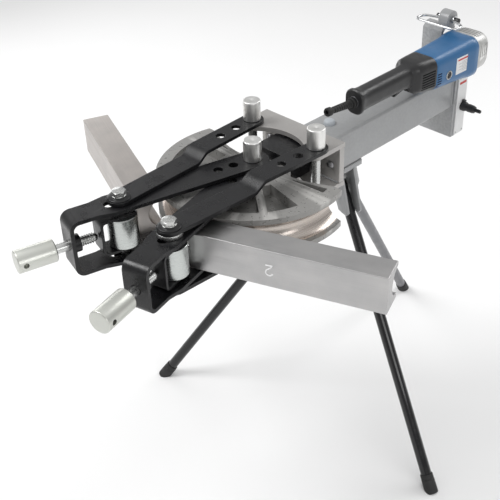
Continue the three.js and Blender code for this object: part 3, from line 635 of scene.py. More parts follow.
def make_pin(node, knob):
    low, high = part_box(node)
    radius = (high.x - low.x) / 2
    neck = 8 * MM
    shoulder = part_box(knob)[0].z - GAP
    profile = [(0, low.z), (radius - 2 * MM, low.z), (radius, low.z + 3 * MM), (radius, shoulder),
               (neck, shoulder), (neck, high.z), (0, high.z)]
    stands_for(node, lathe(profile, upright_place(node), 64), zinc, 0.4 * MM)


def make_pins():
    for name in ("side_{}_left", "side_{}_right", "centre_{}"):
        make_pin(name.format("pin"), name.format("knob"))
        make_knob(name.format("knob"))


# --- former and ram
RIM_BAND = 27 * MM
POCKET_DEPTH = 24 * MM
RIB_HALF = 8 * MM
RIB_BEARINGS = (-184, -142, -90, -38, -12)


def curve_between(start, bend, end, steps=12):
    """Points on a curve that leaves start towards bend and comes into end from it."""
    a, b, c = Vector(start), Vector(bend), Vector(end)
    along = [i / steps for i in range(steps + 1)]
    return [tuple(a * (1 - t) ** 2 + b * 2 * t * (1 - t) + c * t * t) for t in along]


def rounded_corner(before, here, after, radius, steps):
    """Points that cut the corner at `here` with a smooth curve."""
    before, here, after = Vector(before), Vector(here), Vector(after)
    into, away = before - here, after - here
    reach = min(radius, into.length * 0.45, away.length * 0.45)
    start, end = here + into.normalized() * reach, here + away.normalized() * reach
    return curve_between(start, here, end, steps)


def rounded_outline(points, radius, steps):
    """The closed outline with each of its corners rounded off."""
    out = []
    for i, corner in enumerate(points):
        out += rounded_corner(points[i - 1], corner, points[(i + 1) % len(points)], radius, steps)
    return out


def rounded_route(points, radius, steps=10):
    """The open route with its inner corners rounded off."""
    out = [tuple(points[0])]
    for before, here, after in zip(points, points[1:], points[2:]):
        out += rounded_corner(before, here, after, radius, steps)
    return out + [tuple(points[-1])]


def pocket(bearings, inner, outer, low, high, corner=9 * MM):
    """A hollow in the former between two ribs, bounded by two arcs and rounded in its corners."""
    outline = []
    for radius, (first, last) in ((outer, bearings), (inner, bearings[::-1])):
        trim = math.degrees(math.asin(RIB_HALF / radius))
        step = trim if first < last else -trim
        outline += arc((0, 0), radius, first + step, last - step, 14)
    return prism(rounded_outline(outline, corner, 3), low, high, pivot_place)


def former_outline(radius):
    """Plan of the former: a half wheel whose back is waisted on both sides of a square hub."""
    reach = radius + 5 * MM
    wing, hub_half, hub_back, waist = 55 * MM, 62 * MM, 46 * MM, 24 * MM
    web = (hub_half + 50 * MM, 22 * MM)
    rim = radius - RIM_BAND - 4 * MM
    return [(-reach, wing), (-reach, -reach), (reach, -reach), (reach, wing),
            *curve_between((rim, wing), web, (hub_half, waist)), (hub_half, hub_back),
            (-hub_half, hub_back), *curve_between((-hub_half, waist), (-web[0], web[1]), (-rim, wing))]


def former_hollows(low, high, radius):
    """Pockets between the ribs and two small ones in the wings, the ram's slot and the pin bore."""
    floor, top = high.z - POCKET_DEPTH, high.z + MM
    outer = radius - RIM_BAND
    hollows = [pocket(pair, 78 * MM, outer, floor, top) for pair in zip(RIB_BEARINGS, RIB_BEARINGS[1:])]
    hollows += [pocket(pair, 96 * MM, outer, floor, top, 4 * MM) for pair in ((5, 16), (164, 175))]
    ram_low, ram_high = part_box("ram_block")
    slot_low = (-28.3 * MM, -34 * MM, ram_low.z - GAP)
    slot_high = (28.3 * MM, 47 * MM, ram_high.z - 46 * MM + GAP)
    return [*hollows, box(slot_low, slot_high, pivot_place), drill(PIN_BORE, low, high, pivot_place)]


def polish_groove(shape, radius):
    """Gives the former's pipe groove a bright, turned surface."""
    polished = bare_metal("former_groove", (0.62, 0.58, 0.54), 0.26, turned_round(pivot_place), 700, 0.14,
                          (1, 0.93, 0.90))
    shape.data.materials.append(polished)
    for face in shape.data.polygons:
        away = math.hypot(face.center.x - pivot.x, face.center.y - pivot.y)
        in_rim = away > radius - PIPE_RADIUS - 2 * MM and abs(face.normal.z) < 0.96
        from_pipe = abs(math.hypot(radius - away, face.center.z - tube_z) - PIPE_RADIUS)
        if in_rim and from_pipe < 2.5 * MM:
            face.material_index = 1


def make_former():
    node = "bending_die"
    low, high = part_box(node)
    radius = (high.x - low.x) / 2
    groove = arc((radius, tube_z), PIPE_RADIUS, 270, 90, 30)
    wheel = lathe([(0, low.z), (radius, low.z), *groove, (radius, high.z), (0, high.z)], pivot_place, 144)
    blank = common(wheel, punch(former_outline(radius), low, high, pivot_place))
    # middle of a brown patch at the right-hand end of the groove
    brown_patch_centre = Vector((pivot.x + radius * 0.93, pivot.y - 6 * MM, tube_z))
    metal = cast("former_casting", (0.30, 0.295, 0.285), 0.36, 0.4, brown_patch_centre)
    former = cut(blank, *former_hollows(low, high, radius))
    polish_groove(stands_for(node, former, metal, 1.6 * MM, segments=3, limit=38), radius)


def make_ram():
    as_drawn("ram_block", black_paint, 1.2 * MM)
    low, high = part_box("ram_tube")
    centre = middle("ram_tube")
    end = high.y - low.y
    tube = turned([(13, 0), (19, 0)]) + turned([(19, -23), (25, -23), (25, 0), (13, 0)], end)
    stands_for("ram_tube", lathe(tube, rearward_frame(centre, low.y)), zinc, 0.6 * MM)

    low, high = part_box("lead_screw")
    place = rearward_frame(centre, low.y)
    end = high.y - low.y
    screw = thread(12 * MM, 1.8 * MM, 6 * MM, 0, end - 15 * MM, place)
    wheel = lathe(crowned(20 * MM, end - 14 * MM, end - 2 * MM, MM), place)
    tail = cylinder(11 * MM, end - 16 * MM, end, place)
    stands_for("lead_screw", joined(screw, wheel, tail), dull_steel, 0)


# --- yokes, cradles and links
def bracket_profile(rear, front, low, high, thick, bend):
    """Side view of a strap bent into a C that is open to the rear."""
    inner = bend - thick
    upper, lower = (front - bend, high - bend), (front - bend, low + bend)
    return [(rear, high), *arc(upper, bend, 90, 0, 10), *arc(lower, bend, 0, -90, 10),
            (rear, low), (rear, low + thick),
            *arc(lower, inner, -90, 0, 8), *arc(upper, inner, 0, 90, 8), (rear, high - thick)]


def carried_across(outline, half, place):
    """A side view in X and Z carried across Y from -half to half."""
    return prism(outline, -half, half, place @ Matrix.Rotation(math.pi / 2, 4, "X"))


def slot_outline(start, end, radius):
    return arc((end, 0), radius, -90, 90) + arc((start, 0), radius, 90, 270)


def make_yoke(side):
    node = f"yoke_{side}"
    place = arm_place(side)
    low, high = measured(node, place)
    half, strap_half, spare = high.y, 27 * MM, 5 * MM
    taper_start, taper_end, front = 318 * MM, 350 * MM, high.x + spare
    bracket = bracket_profile(low.x - spare, high.x, low.z, high.z, STRAP, 20 * MM)
    bent = carried_across(bracket, half + spare, place)
    plan = [*arc((0, 0), half, 270, 90, 40), (taper_start, half), (taper_end, strap_half),
            (front, strap_half), (front, -strap_half), (taper_end, -strap_half), (taper_start, -half)]
    blank = common(bent, punch(plan, low, high, place))
    screw_place = clamp_place(side)
    boss = lathe(crowned(18 * MM, 386 * MM, 403 * MM, 1.2 * MM), screw_place)
    holes = [drill(radius * MM, low, high, place, x * MM) for x, radius in ((0, 10.4), (45, 10), (80, 10))]
    reach = roller_reach(side)
    bolt_slot = punch(slot_outline(reach, reach + 23 * MM, PIN_BORE), low, high, place)
    screw_hole = cylinder(10.8 * MM, 370 * MM, front, screw_place)
    yoke = cut(joined(blank, boss), *holes, bolt_slot, screw_hole)
    stands_for(node, yoke, black_paint, 1.1 * MM, segments=3)


def make_cradle(side):
    node = f"roller_cradle_{side}"
    place = arm_place(side)
    low, high = measured(node, place)
    bent = carried_across(bracket_profile(low.x, high.x, low.z, high.z, 6 * MM, 12 * MM), high.y, place)
    reach = roller_reach(side)
    slot = punch(slot_outline(reach - 14 * MM, reach, PIN_BORE), low, high, place)
    stands_for(node, cut(bent, slot), black_paint, 0.9 * MM)


def s_bend(x, start, end, first, last):
    """A height that passes smoothly from first to last between start and end."""
    t = min(1, max(0, (x - start) / (end - start)))
    return first + (last - first) * t * t * (3 - 2 * t)


def make_link(side, level):
    node = f"link_{side}_{level}"
    pin, bolt = middle(f"side_pin_{side}"), middle(f"roller_{side}")
    place = turned_about_z((pin.x, pin.y, 0), math.atan2(bolt.y - pin.y, bolt.x - pin.x))
    low, high = measured(node, place)
    half = high.y
    long = high.x - half
    start, end = (156 * MM, 190 * MM) if level == "top" else (24 * MM, 62 * MM)
    steps = 14
    bend = [start + (end - start) * i / steps for i in range(steps + 1)]
    under = [(x, s_bend(x, start, end, high.z - STRAP, low.z)) for x in (low.x - MM, *bend, high.x + MM)]
    over = [(x, z + STRAP) for x, z in reversed(under)]
    strap = carried_across(under + over, half + 5 * MM, place)
    plan = arc((long, 0), half, -90, 90, 28) + arc((0, 0), half, 90, 270, 28)
    blank = common(strap, punch(plan, low, high, place))
    holes = [drill(radius * MM, low, high, place, x)
             for x, radius in ((0, 10.4), (50 * MM, 10), (97 * MM, 10), (long, 16))]
    stands_for(node, cut(blank, *holes), black_paint, 1.1 * MM, segments=3)


# --- rollers and their bolts
def bushing(radius, low, high, edge):
    """Profile of a turned ring round a pin, its outer corners rounded."""
    return bored(crowned(radius, low, high, edge), PIN_BORE)


def make_roller(side):
    node = f"roller_{side}"
    low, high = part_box(node)
    place = upright_place(node)
    radius = measured(node, place)[1].x
    metal = bare_metal(f"{node}_ground", (0.60, 0.625, 0.61), 0.28, turned_round(place), 1600, 0.12)
    stands_for(node, lathe(bushing(radius, low.z, high.z, 1.6 * MM), place, 96), metal, 0)


def make_roller_bolt(side):
    node = f"roller_bolt_{side}"
    low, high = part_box(node)
    place = upright_place(f"roller_{side}")
    hexagon = 15 * MM
    head_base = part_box(f"domed_washer_{side}")[1].z + GAP
    nut_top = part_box(f"link_{side}_bottom")[0].z - GAP
    shank = cylinder(10 * MM, low.z, head_base + MM, place, 64)
    head = hex_head(hexagon, head_base + 0.8 * MM, high.z, place, 1.6 * MM)
    collar = lathe(crowned(14.2 * MM, head_base, head_base + 1.4 * MM, 0.5 * MM), place)
    top = lathe(turned([(0, -3), (8.5, -3), (8.5, 0.4), (6.5, 0.9), (0, 1.1)], high.z), place, 48)
    flange = lathe(crowned(21 * MM, nut_top - 2.4 * MM, nut_top, 0.6 * MM), place)
    nut = hex_head(hexagon, nut_top - 10 * MM, nut_top - 2 * MM, place)
    tip = thread(9.8 * MM, MM, 2 * MM, low.z, nut_top - 9 * MM, place)
    stands_for(node, joined(shank, collar, head, top, flange, nut, tip), zinc, 0.35 * MM, limit=40)


def make_washers(side):
    node = f"domed_washer_{side}"
    low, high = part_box(node)
    place = upright_place(f"roller_{side}")
    radius, rim, slope = 23 * MM, 1.2 * MM, 55
    rise = (high.z - low.z - rim) / math.sin(math.radians(slope))
    dome = [(radius * math.cos(math.radians(a)), low.z + rim + rise * math.sin(math.radians(a)))
            for a in range(0, slope + 1, 5)]
    profile = [(PIN_BORE, low.z), (radius, low.z), *dome, (PIN_BORE, high.z)]
    stands_for(node, lathe(profile, place), black_paint, 0.3 * MM, limit=50)
    if side == "right":
        low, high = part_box("spacer_washer_right")
        ring = lathe(bushing(25 * MM, low.z, high.z, 1.2 * MM), place)
        stands_for("spacer_washer_right", ring, zinc, 0)


def make_clamp_screw(side):
    node = f"clamp_screw_{side}"
    place = clamp_place(side)
    low, high = measured(node, place)
    thread_end = low.z + 35 * MM
    nose = lathe(turned([(0, 0), (4, 0.6), (6.8, 3), (8, 6), (8, 9.5), (0, 9.5)], low.z), place)
    screw = thread(10.4 * MM, 2.2 * MM, 5 * MM, low.z + 9 * MM, thread_end, place)
    shank = cylinder(10 * MM, thread_end - MM, high.z, place, 64)
    stands_for(node, joined(nose, screw, shank), zinc, 0)


def make_clamp_knob(side):
    node = f"clamp_knob_{side}"
    place = clamp_place(side)
    low, high = measured(node, place)
    body = lathe(crowned(23 * MM, low.z, high.z, 2.2 * MM, 3 * MM), place, 96)
    socket = cylinder(10.3 * MM, low.z - MM, low.z + 23.5 * MM, place, 64)
    bar_place = place @ Matrix.Translation((0, 0, high.z - 14 * MM)) @ Matrix.Rotation(math.pi / 2, 4, "X")
    bar_hole = cylinder(5.5 * MM, -40 * MM, 40 * MM, bar_place)
    metal = bare_metal(f"{node}_turned", (0.66, 0.67, 0.64), 0.38, turned_round(place), 2400, 0.1,
                       (1, 1, 0.96))
    stands_for(node, cut(body, socket, bar_hole), metal, 0.5 * MM, limit=40)


# --- follow bars
def bar_direction(side):
    inward = next(j["axis"] for j in frame["joints"] if j["name"] == f"bar_{side}_feed")
    return -Vector(inward)


def make_follow_bar(side):
    """Section drawn with X up and Y away from the former, carried out along the bar."""
    node = f"follow_bar_{side}"
    sign = SIDES[side]
    along = bar_direction(side)
    place = frame_of(pivot_floor, along)
    low, high = measured(node, place)
    near, far = (low.y, high.y) if sign > 0 else (high.y, low.y)
    groove = arc((tube_z, near), PIPE_RADIUS, 0, sign * 180, 36)
    section = [(high.x, near), *groove, (low.x, near), (low.x, far), (high.x, far)]
    body = prism(section if sign < 0 else section[::-1], low.z, high.z, place)
    end, face = low.z - MM, far + sign * MM
    bevelled_end = prism([(end, face), (end + 13 * MM, face), (end, face - sign * 15 * MM)], low.x - MM,
                         high.x + MM, place @ matrix_of((0, 0, 0), UP, REARWARD, RIGHTWARD))
    colour = (0.56, 0.56, 0.565) if side == "right" else (0.56, 0.53, 0.51)
    marks = machined_along(math.atan2(along.y, along.x))
    metal = bare_metal(f"bar_{side}_milled", colour, 0.36, marks, 420, 0.28, (1, 0.98, 0.96), 0.35)
    stands_for(node, cut(body, bevelled_end), metal, 1.5 * MM, segments=3)


def make_size_mark():
    """The size number in the right-hand bar's outer face, upside down, as one bright stroke."""
    node = "follow_bar_right"
    place = frame_of(pivot_floor, bar_direction("right"))
    low, high = measured(node, place)
    centre = (low.z * 0.60 + high.z * 0.40 + 9 * MM, tube_z - 3 * MM)
    half_tall, half_wide = 11 * MM, 7 * MM
    bow = arc((0, half_tall - half_wide), half_wide, 165, -35, 12)
    neck = curve_between(bow[-1], (half_wide * 0.2, -half_tall * 0.3), (-half_wide, -half_tall), 6)
    stroke = bow + neck[1:] + [(half_wide, -half_tall)]
    points = [place @ Vector((centre[1] - v, high.y, centre[0] - u)) for u, v in stroke]
    detail("bar_right_size_mark", wire(points, 1.4 * MM, sides=8), bright_scribe, node, 60)


# --- beam, gearbox and handle
def make_beam():
    node = "beam_tube"
    low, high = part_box(node)
    place = rearward_frame(middle(node), low.y)
    long, wall, bead = high.y - low.y, 6 * MM, 2.6 * MM
    half_x, half_y = (high.z - low.z) / 2, (high.x - low.x) / 2
    tube = prism(rounded_rectangle(half_x, half_y, 7 * MM), 0, long, place)
    hollow = prism(rounded_rectangle(half_x - wall, half_y - wall, 3 * MM), -MM, long + MM, place)
    stands_for(node, cut(tube, hollow), grey_paint, 0.5 * MM, limit=50)
    inset, margin = 1.4 * MM, 8 * MM
    left, right, bottom, top = low.x + margin, high.x - margin, low.z + margin, high.z - margin
    for end, y in (("front", low.y + inset), ("rear", high.y - inset)):
        for side, x in (("left", low.x), ("right", high.x)):
            weld_bead(f"beam_weld_{end}_{side}", (x, y, bottom), (x, y, top), node, bead)
        weld_bead(f"beam_weld_{end}_top", (left, y, high.z), (right, y, high.z), node, bead)


def make_beam_plug():
    """A round grey cap on the beam's upper face, over the middle of the stand."""
    place = Matrix.Translation((pivot.x - 6 * MM, pivot.y + 242 * MM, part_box("beam_tube")[1].z))
    dome = turned([(0, -2), (13, -2), (13, 2), (12.6, 5), (11, 8), (8, 10), (4, 11), (0, 11.2)])
    detail("beam_plug", lathe(dome, place), plug_grey, "beam_tube")


def panel_screw(name, centre, normal, node, radius):
    """A small button-head screw with a hexagon socket."""
    place = frame_of(centre, normal)
    top = 1.8 * MM
    head = lathe([(0, -MM), (radius, -MM), (radius, 0.3 * MM), (radius * 0.8, 1.4 * MM),
                  (radius * 0.45, top), (0, top)], place, 32)
    socket = prism(hex_outline(radius * 0.42), 0.5 * MM, 3 * MM, place)
    detail(name, cut(head, socket), zinc, node)


def make_side_panel():
    node = "side_panel"
    low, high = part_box(node)
    centre, shaft = middle(node), middle("selector_lever")
    half_up, half_y = (high.z - low.z) / 2, (high.y - low.y) / 2
    thick, face = high.x - low.x, high.x
    sheet = prism(rounded_rectangle(half_up, half_y, 3 * MM), 0, thick, rightward_frame(centre, low.x))
    hole = cylinder(6 * MM, -MM, thick + MM, rightward_frame(shaft, low.x))
    stands_for(node, cut(sheet, hole), white_panel, 0.3 * MM)
    for index, (dy, dz) in enumerate(((-1, 1), (1, 1), (-1, -1), (1, -1))):
        point = (face, centre.y + dy * (half_y - 5 * MM), centre.z + dz * (half_up - 6 * MM))
        panel_screw(f"panel_screw_{index}", point, RIGHTWARD, node, 2.4 * MM)
    stripe = box((face - 0.2 * MM, low.y + 5 * MM, high.z - 22 * MM),
                 (face + 0.25 * MM, high.y - 5 * MM, high.z - 16 * MM))
    detail("panel_red_stripe", stripe, red_print, node)
    hub = Vector((face, shaft.y, shaft.z))
    for index in range(9):
        bearing = math.radians(-60 + 30 * index)
        out = Vector((0, math.sin(bearing), math.cos(bearing)))
        inner, outer = (15 * MM, 17.5 * MM) if index % 2 else (14.5 * MM, 17.8 * MM)
        start, end = hub + out * inner, hub + out * outer
        if abs(end.y - centre.y) < half_y - MM:
            detail(f"panel_tick_{index}", wire([start, end], 0.45 * MM, sides=6), grey_print, node, 60)


def make_gearbox():
    as_drawn("gearbox_plate", grey_paint, MM)
    as_drawn("gearbox_case", grey_paint, 1.6 * MM, segments=3)
    make_side_panel()


def make_selector():
    node = "selector_lever"
    low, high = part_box(node)
    boss, base = 11.5 * MM, 17.3 * MM
    place = frame_of((low.x, low.y + boss, low.z + boss), RIGHTWARD)
    grip = turned([(5, 0), (11.5, 0), (11.5, 10), (10, 13), (9.2, 16), (10, 20), (9.6, 32), (8.2, 37),
                   (4.8, 38)], base)
    tip = turned([(4.4, -1), (3.4, 0), (0, 0)], high.x - low.x)
    body = lathe([*turned([(0, 0), (5, 0)]), *grip, *tip], place, 48)
    pointer = box((0, -3.4 * MM, base + 0.5 * MM), (17 * MM, 3.4 * MM, base + 9 * MM), place)
    stands_for(node, joined(body, pointer), black_plastic, 0.5 * MM, limit=40)


def make_handle_pin(centre):
    """The pin through the sleeve, with a plain cap on its left end and a fluted one on its right."""
    low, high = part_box("handle_pin")
    place = rightward_frame(centre, low.x)
    long = high.x - low.x
    shaft = cylinder(4.1 * MM, 8 * MM, long - 8 * MM, place)
    left_cap = lathe(crowned(5.5 * MM, 0, 8 * MM, 1.5 * MM), place, 48)
    right_cap = lathe(crowned(6 * MM, long - 10 * MM, long, 1.5 * MM, 0.8 * MM), place, 64)
    flutes = []
    for index in range(10):
        turn = Matrix.Rotation(2 * math.pi * index / 10, 4, "Z")
        flute_place = place @ turn @ Matrix.Translation((6.3 * MM, 0, 0))
        flutes.append(cylinder(0.9 * MM, long - 11 * MM, long - 2 * MM, flute_place, 10))
    pin = joined(shaft, left_cap, cut(right_cap, *flutes))
    stands_for("handle_pin", pin, black_plastic, 0.3 * MM, limit=50)


def make_bail(hinge):
    """A wire ring: two arms splay out from the ends of the sleeve to a wide outer bar."""
    low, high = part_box("bail_handle")
    sleeve_low, sleeve_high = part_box("handle_sleeve")
    thick, gap, eye, bore = 3 * MM, 4.5 * MM, 9 * MM, 4.8 * MM
    arms = (sleeve_low.x - gap, sleeve_high.x + gap)
    outer = (low.x + thick, high.x - thick)
    bar_y, shoulder_y, root_y = low.y + thick, hinge.y - 20 * MM, hinge.y - eye + MM
    plan = [(arms[0], root_y), (outer[0], shoulder_y), (outer[0], bar_y),
            (outer[1], bar_y), (outer[1], shoulder_y), (arms[1], root_y)]
    loop = wire(rounded_route([(x, y, hinge.z) for x, y in plan], 16 * MM), thick)
    ring = [(bore, -thick), (eye, -thick), (eye, thick), (bore, thick)]
    eyes = [lathe(ring, rightward_frame(hinge, x), 48) for x in arms]
    stands_for("bail_handle", joined(loop, *eyes), chrome, 0, limit=40)


def make_carrying_handle():
    node = "handle_sleeve"
    low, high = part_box(node)
    centre = middle(node)
    outside = crowned((high.z - low.z) / 2, 0, high.x - low.x, 1.6 * MM)
    sleeve = lathe(bored(outside, 4.9 * MM), rightward_frame(centre, low.x), 80)
    stands_for(node, sleeve, grey_paint, 0)
    make_handle_pin(centre)
    make_bail(centre)


# --- motor
motor_axis = middle("motor_housing")
housing_front, housing_rear = (corner.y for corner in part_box("motor_housing"))
HOUSING_HALF = 41               # half width in millimetres at the housing's front
HOUSING_SWELL = 6               # how much the half width has grown at its rear
HOUSING_DROP = 4                # how far the housing's middle sinks from front to rear
VENT_PITCH = 6 * MM
grip_z = motor_axis.z + 15 * MM


def motor_section(y, z, half_x, half_z, corner):
    """An outline across the motor at y, a rounded rectangle."""
    return [(motor_axis.x + u, y, z + v) for u, v in rounded_rectangle(half_x, half_z, corner)]


def along_housing(y):
    """How far y lies along the motor housing, from 0 at its front to 1 at its rear."""
    return (y - housing_front) / (housing_rear - housing_front)


def housing_half(y):
    return (HOUSING_HALF + HOUSING_SWELL * along_housing(y)) * MM


def housing_section(y, inset, corner):
    half = housing_half(y) - inset
    rise = HOUSING_DROP * (1 - along_housing(y)) * MM
    return motor_section(y, motor_axis.z + rise, half, half, corner)


def vent_slots(count, top, half_x, depth, start, end, half_tall):
    """Level slots in both sides of the motor, one under the other, as cutting tools."""
    slots = []
    for index in range(count):
        z = top - index * VENT_PITCH
        for sign in (-1, 1):
            x = motor_axis.x + sign * half_x
            slots.append(box((x - depth[0], start, z - half_tall), (x + depth[1], end, z + half_tall)))
    return slots


def make_motor_housing():
    stations = [(0, 2.4, 19), (1.2, 1.2, 20), (5, 0.6, 21), (12, 0.2, 22), (26, 0, 23), (104, 0, 23),
                (120, -1.6, 24), (132, -2.6, 25), (146, -2.4, 25), (150.5, 0, 24), (152, 3, 21)]
    drum = loft([housing_section(housing_front + y * MM, inset * MM, corner * MM)
                 for y, inset, corner in stations])
    cap_place = rightward_frame(middle("brush_cap"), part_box("brush_cap")[0].x)
    recess = cylinder(11 * MM, 0, 20 * MM, cap_place, 64)
    half, depth = HOUSING_HALF * MM, 4 * MM
    slots = vent_slots(5, motor_axis.z + 5 * MM, half, (depth, depth), housing_front + 3 * MM,
                       housing_front + 17 * MM, 1.4 * MM)
    shape = stands_for("motor_housing", cut(drum, recess, *slots), blue_plastic, 0.6 * MM, limit=38)
    shape.data.materials.append(dark_slot)
    for face in shape.data.polygons:
        in_depth = abs(face.center.x - motor_axis.x) < half - 1.2 * MM
        in_row = abs(face.center.z - motor_axis.z) < 26 * MM
        if in_depth and in_row and 2.5 * MM < face.center.y - housing_front < 17.5 * MM:
            face.material_index = 1
    make_brush_cap(cap_place)
    make_motor_label()


def make_brush_cap(place):
    ring = turned([(8.2, 6.4), (10.6, 6.4), (10.6, 8.0), (9.4, 8.8), (8.2, 8.0)])
    detail("brush_ring", lathe(ring, place, 64), zinc, "brush_cap")
    cap = lathe(turned([(0, 0.4), (9.9, 0.4), (9.9, 6.2), (8, 7.4), (7.4, 8.5), (0, 8.5)]), place, 64)
    groove = box((-1.1 * MM, -12 * MM, 7 * MM), (1.1 * MM, 12 * MM, 12 * MM),
                 place @ Matrix.Rotation(0.6, 4, "Z"))
    stands_for("brush_cap", cut(cap, groove), black_plastic, 0.3 * MM)


def make_motor_label():
    """A plain rating plate on the housing's right-hand side, with no lettering."""
    half_up, half_along = 20 * MM, 28 * MM
    middle_y = housing_front + 96 * MM
    face = Vector((motor_axis.x + housing_half(middle_y), middle_y, motor_axis.z + 4 * MM))
    place = frame_of(face, (1, -HOUSING_SWELL * MM / (housing_rear - housing_front), 0))

    def strip(name, bottom, top, start, end, proud, material):
        detail(name, box((bottom, start, -0.8 * MM), (top, end, proud), place), material, "motor_housing")

    strip("motor_label", -half_up, half_up, -half_along, half_along, 0.35 * MM, white_panel)
    inner = half_along - 5 * MM
    strip("motor_label_stripe", 12 * MM, 16 * MM, -inner, inner, 0.5 * MM, red_print)
    for index in range(7):
        up = (7 - 3.6 * index) * MM
        short = (4 if index % 2 else 16) * MM
        strip(f"motor_label_rule_{index}", up, up + 0.9 * MM, -inner, inner - short, 0.47 * MM, grey_print)


def make_gear_head():
    node = "motor_gear_head"
    low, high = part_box(node)
    half = 45 * MM
    centre_z, right = high.z - half, motor_axis.x + half
    sections = []
    for y, inset, corner in ((0, 1.2, 26), (1, 0.2, 27), (8, 0, 28), (34, 0.5, 28), (42, 3, 27),
                             (47, 7, 24), (49.5, 11, 20)):
        size = half - inset * MM
        sections.append(motor_section(low.y + y * MM, centre_z, size, size, corner * MM))
    grooves = []
    for index in range(4):
        start, end = low.y + (8 + 8 * index) * MM, low.y + (11.4 + 8 * index) * MM
        outside = (right + 20 * MM, end, high.z + 20 * MM)
        grooves.append(box((motor_axis.x - 38 * MM, start, high.z - 3 * MM), outside))
        grooves.append(box((right - 2.4 * MM, start, centre_z - 6 * MM), (outside[0], end, high.z)))
    case_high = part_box("gearbox_case")[1]
    place = Matrix.Translation((36 * MM + pivot.x, case_high.y - 15 * MM, 0))
    inside = centre_z - half + 12 * MM
    spindle = cylinder(9 * MM, low.z, inside, place)
    flange = lathe(crowned(15 * MM, case_high.z + GAP, inside, MM), place)
    metal = cast("gear_head_casting", (0.50, 0.50, 0.49), 0.40, 0.6)
    stands_for(node, joined(cut(loft(sections), *grooves), spindle, flange), metal, 0.8 * MM, limit=38)
    for index, (dx, dz) in enumerate(((-1, 1), (1, 1), (1, -1), (-1, -1))):
        point = (motor_axis.x + dx * 27 * MM, high.y - 0.8 * MM, centre_z + dz * 27 * MM)
        panel_screw(f"gear_head_screw_{index}", point, REARWARD, node, 3.4 * MM)


def handle_body(front, long):
    """A round grip that widens into a square shroud; rows of y, rise, half sizes and corner."""
    stations = [(0, 15, 22.5, 26, 19), (2.5, 15, 24.5, 28.5, 21), (7, 15, 24.5, 28.5, 21),
                (13, 15, 22.5, 25.5, 19), (26, 15, 21.5, 24.5, 18), (150, 15, 21.8, 25, 18),
                (172, 14.5, 22.5, 26, 18), (177, 13, 27, 29.5, 19), (181, 11, 32, 34, 20),
                (188, 9.5, 35, 37.5, 21), (205, 8, 37, 39, 22), (228, 6, 38.8, 40, 22),
                (237, 5, 40, 40.6, 22.5), (long - 1, 4.5, 40, 40.5, 22), (long, 4.5, 39, 39.5, 21)]
    return loft([motor_section(front + y * MM, motor_axis.z + rise * MM, x * MM, z * MM, corner * MM)
                 for y, rise, x, z, corner in stations])


def make_motor_handle():
    node = "motor_handle"
    low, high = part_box(node)
    body = handle_body(low.y, (high.y - low.y) / MM)
    end_place = frame_of((motor_axis.x, low.y, grip_z), REARWARD)
    guard_hole = cylinder(9.4 * MM, -2 * MM, 14 * MM, end_place, 48)
    trigger_low, trigger_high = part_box("trigger")
    well = box((motor_axis.x - 9 * MM, trigger_low.y - 4 * MM, grip_z - 60 * MM),
               (motor_axis.x + 9 * MM, trigger_high.y + 4 * MM, grip_z - 13 * MM))
    vents = vent_slots(7, motor_axis.z + 19 * MM, 40 * MM, (8 * MM, 6 * MM), low.y + 193 * MM,
                       low.y + 235 * MM, 1.5 * MM)
    stands_for(node, cut(body, guard_hole, well, *vents), black_plastic, 0.7 * MM, limit=38)
    ring = turned([(9.6, -0.6), (12.4, -0.6), (13.2, 0.4), (13.2, 1.6), (9.6, 1.6)])
    detail("handle_end_ring", lathe(ring, end_place, 64), dull_steel, node)
    for index, (y, up, tilt) in enumerate(((200, 30, 0.6), (232, -22, -0.5))):
        point = (motor_axis.x + 33 * MM, low.y + y * MM, motor_axis.z + up * MM)
        panel_screw(f"handle_screw_{index}", point, (1, 0, tilt), node, 3 * MM)


def make_trigger():
    """A curved blade, drawn from the side with Y and Z and carried across its width."""
    node = "trigger"
    low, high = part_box(node)
    half = (high.x - low.x) / 2
    rear, front = high.y, low.y
    upper = curve_between((front, low.z + 2 * MM), (front + 16 * MM, high.z - 9 * MM),
                          (rear - 10 * MM, high.z - MM), 10)
    lower = curve_between((rear, high.z - 9 * MM), (front + 22 * MM, low.z + 4 * MM),
                          (front + 4 * MM, low.z), 10)
    place = matrix_of((middle(node).x, 0, 0), REARWARD, UP, RIGHTWARD)
    blade = prism([*upper, (rear, high.z), *lower], -half, half, place)
    stands_for(node, blade, black_plastic, 1.2 * MM, segments=3, limit=40)


def make_cord_guard():
    node = "cord_guard"
    low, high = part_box(node)
    mouth = Vector((motor_axis.x, low.y, high.z - 9.5 * MM))
    root = Vector((motor_axis.x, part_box("motor_handle")[0].y - 6 * MM, grip_z))
    along = mouth - root
    long = along.length / MM
    profile = [(4.6, long), (4.6, 34), (0, 33), (0, -4), (8.4, -4), (8.4, 4)]
    ribs = 8
    for i in range(ribs):
        start = 6 + (long - 24) * i / ribs
        size = 8.6 - 1.5 * i / ribs
        profile += [(size, start), (size, start + 4), (size - 1.2, start + 4.6), (size - 1.2, start + 6)]
    profile += [(7, long - 14), (9.3, long - 11), (9.4, long - 2), (8.4, long)]
    guard = lathe(turned(profile), frame_of(root, along), 48)
    forward = frame_of(root, -REARWARD)
    plug = cylinder(8.6 * MM, -16 * MM, 5 * MM, forward)
    collar = lathe(crowned(12 * MM, -3.4 * MM, 4 * MM, MM, 0.6 * MM), forward, 48)
    stands_for(node, joined(guard, plug, collar), rubber, 0.3 * MM, limit=50)


# --- tripod
LEG_BORE = 9.5 * MM
LEG_RADIUS = 12.5 * MM


def leg_ends(name):
    """The middle of a leg's fold bolt and of its sole on the floor."""
    bolt = next(Vector(j["pos_m"]) for j in frame["joints"] if j["name"] == f"leg_{name}_fold")
    sole = next(Vector(m["pos_m"]) for m in record["mounts"] if m["name"] == f"{name}_sole")
    return bolt, sole


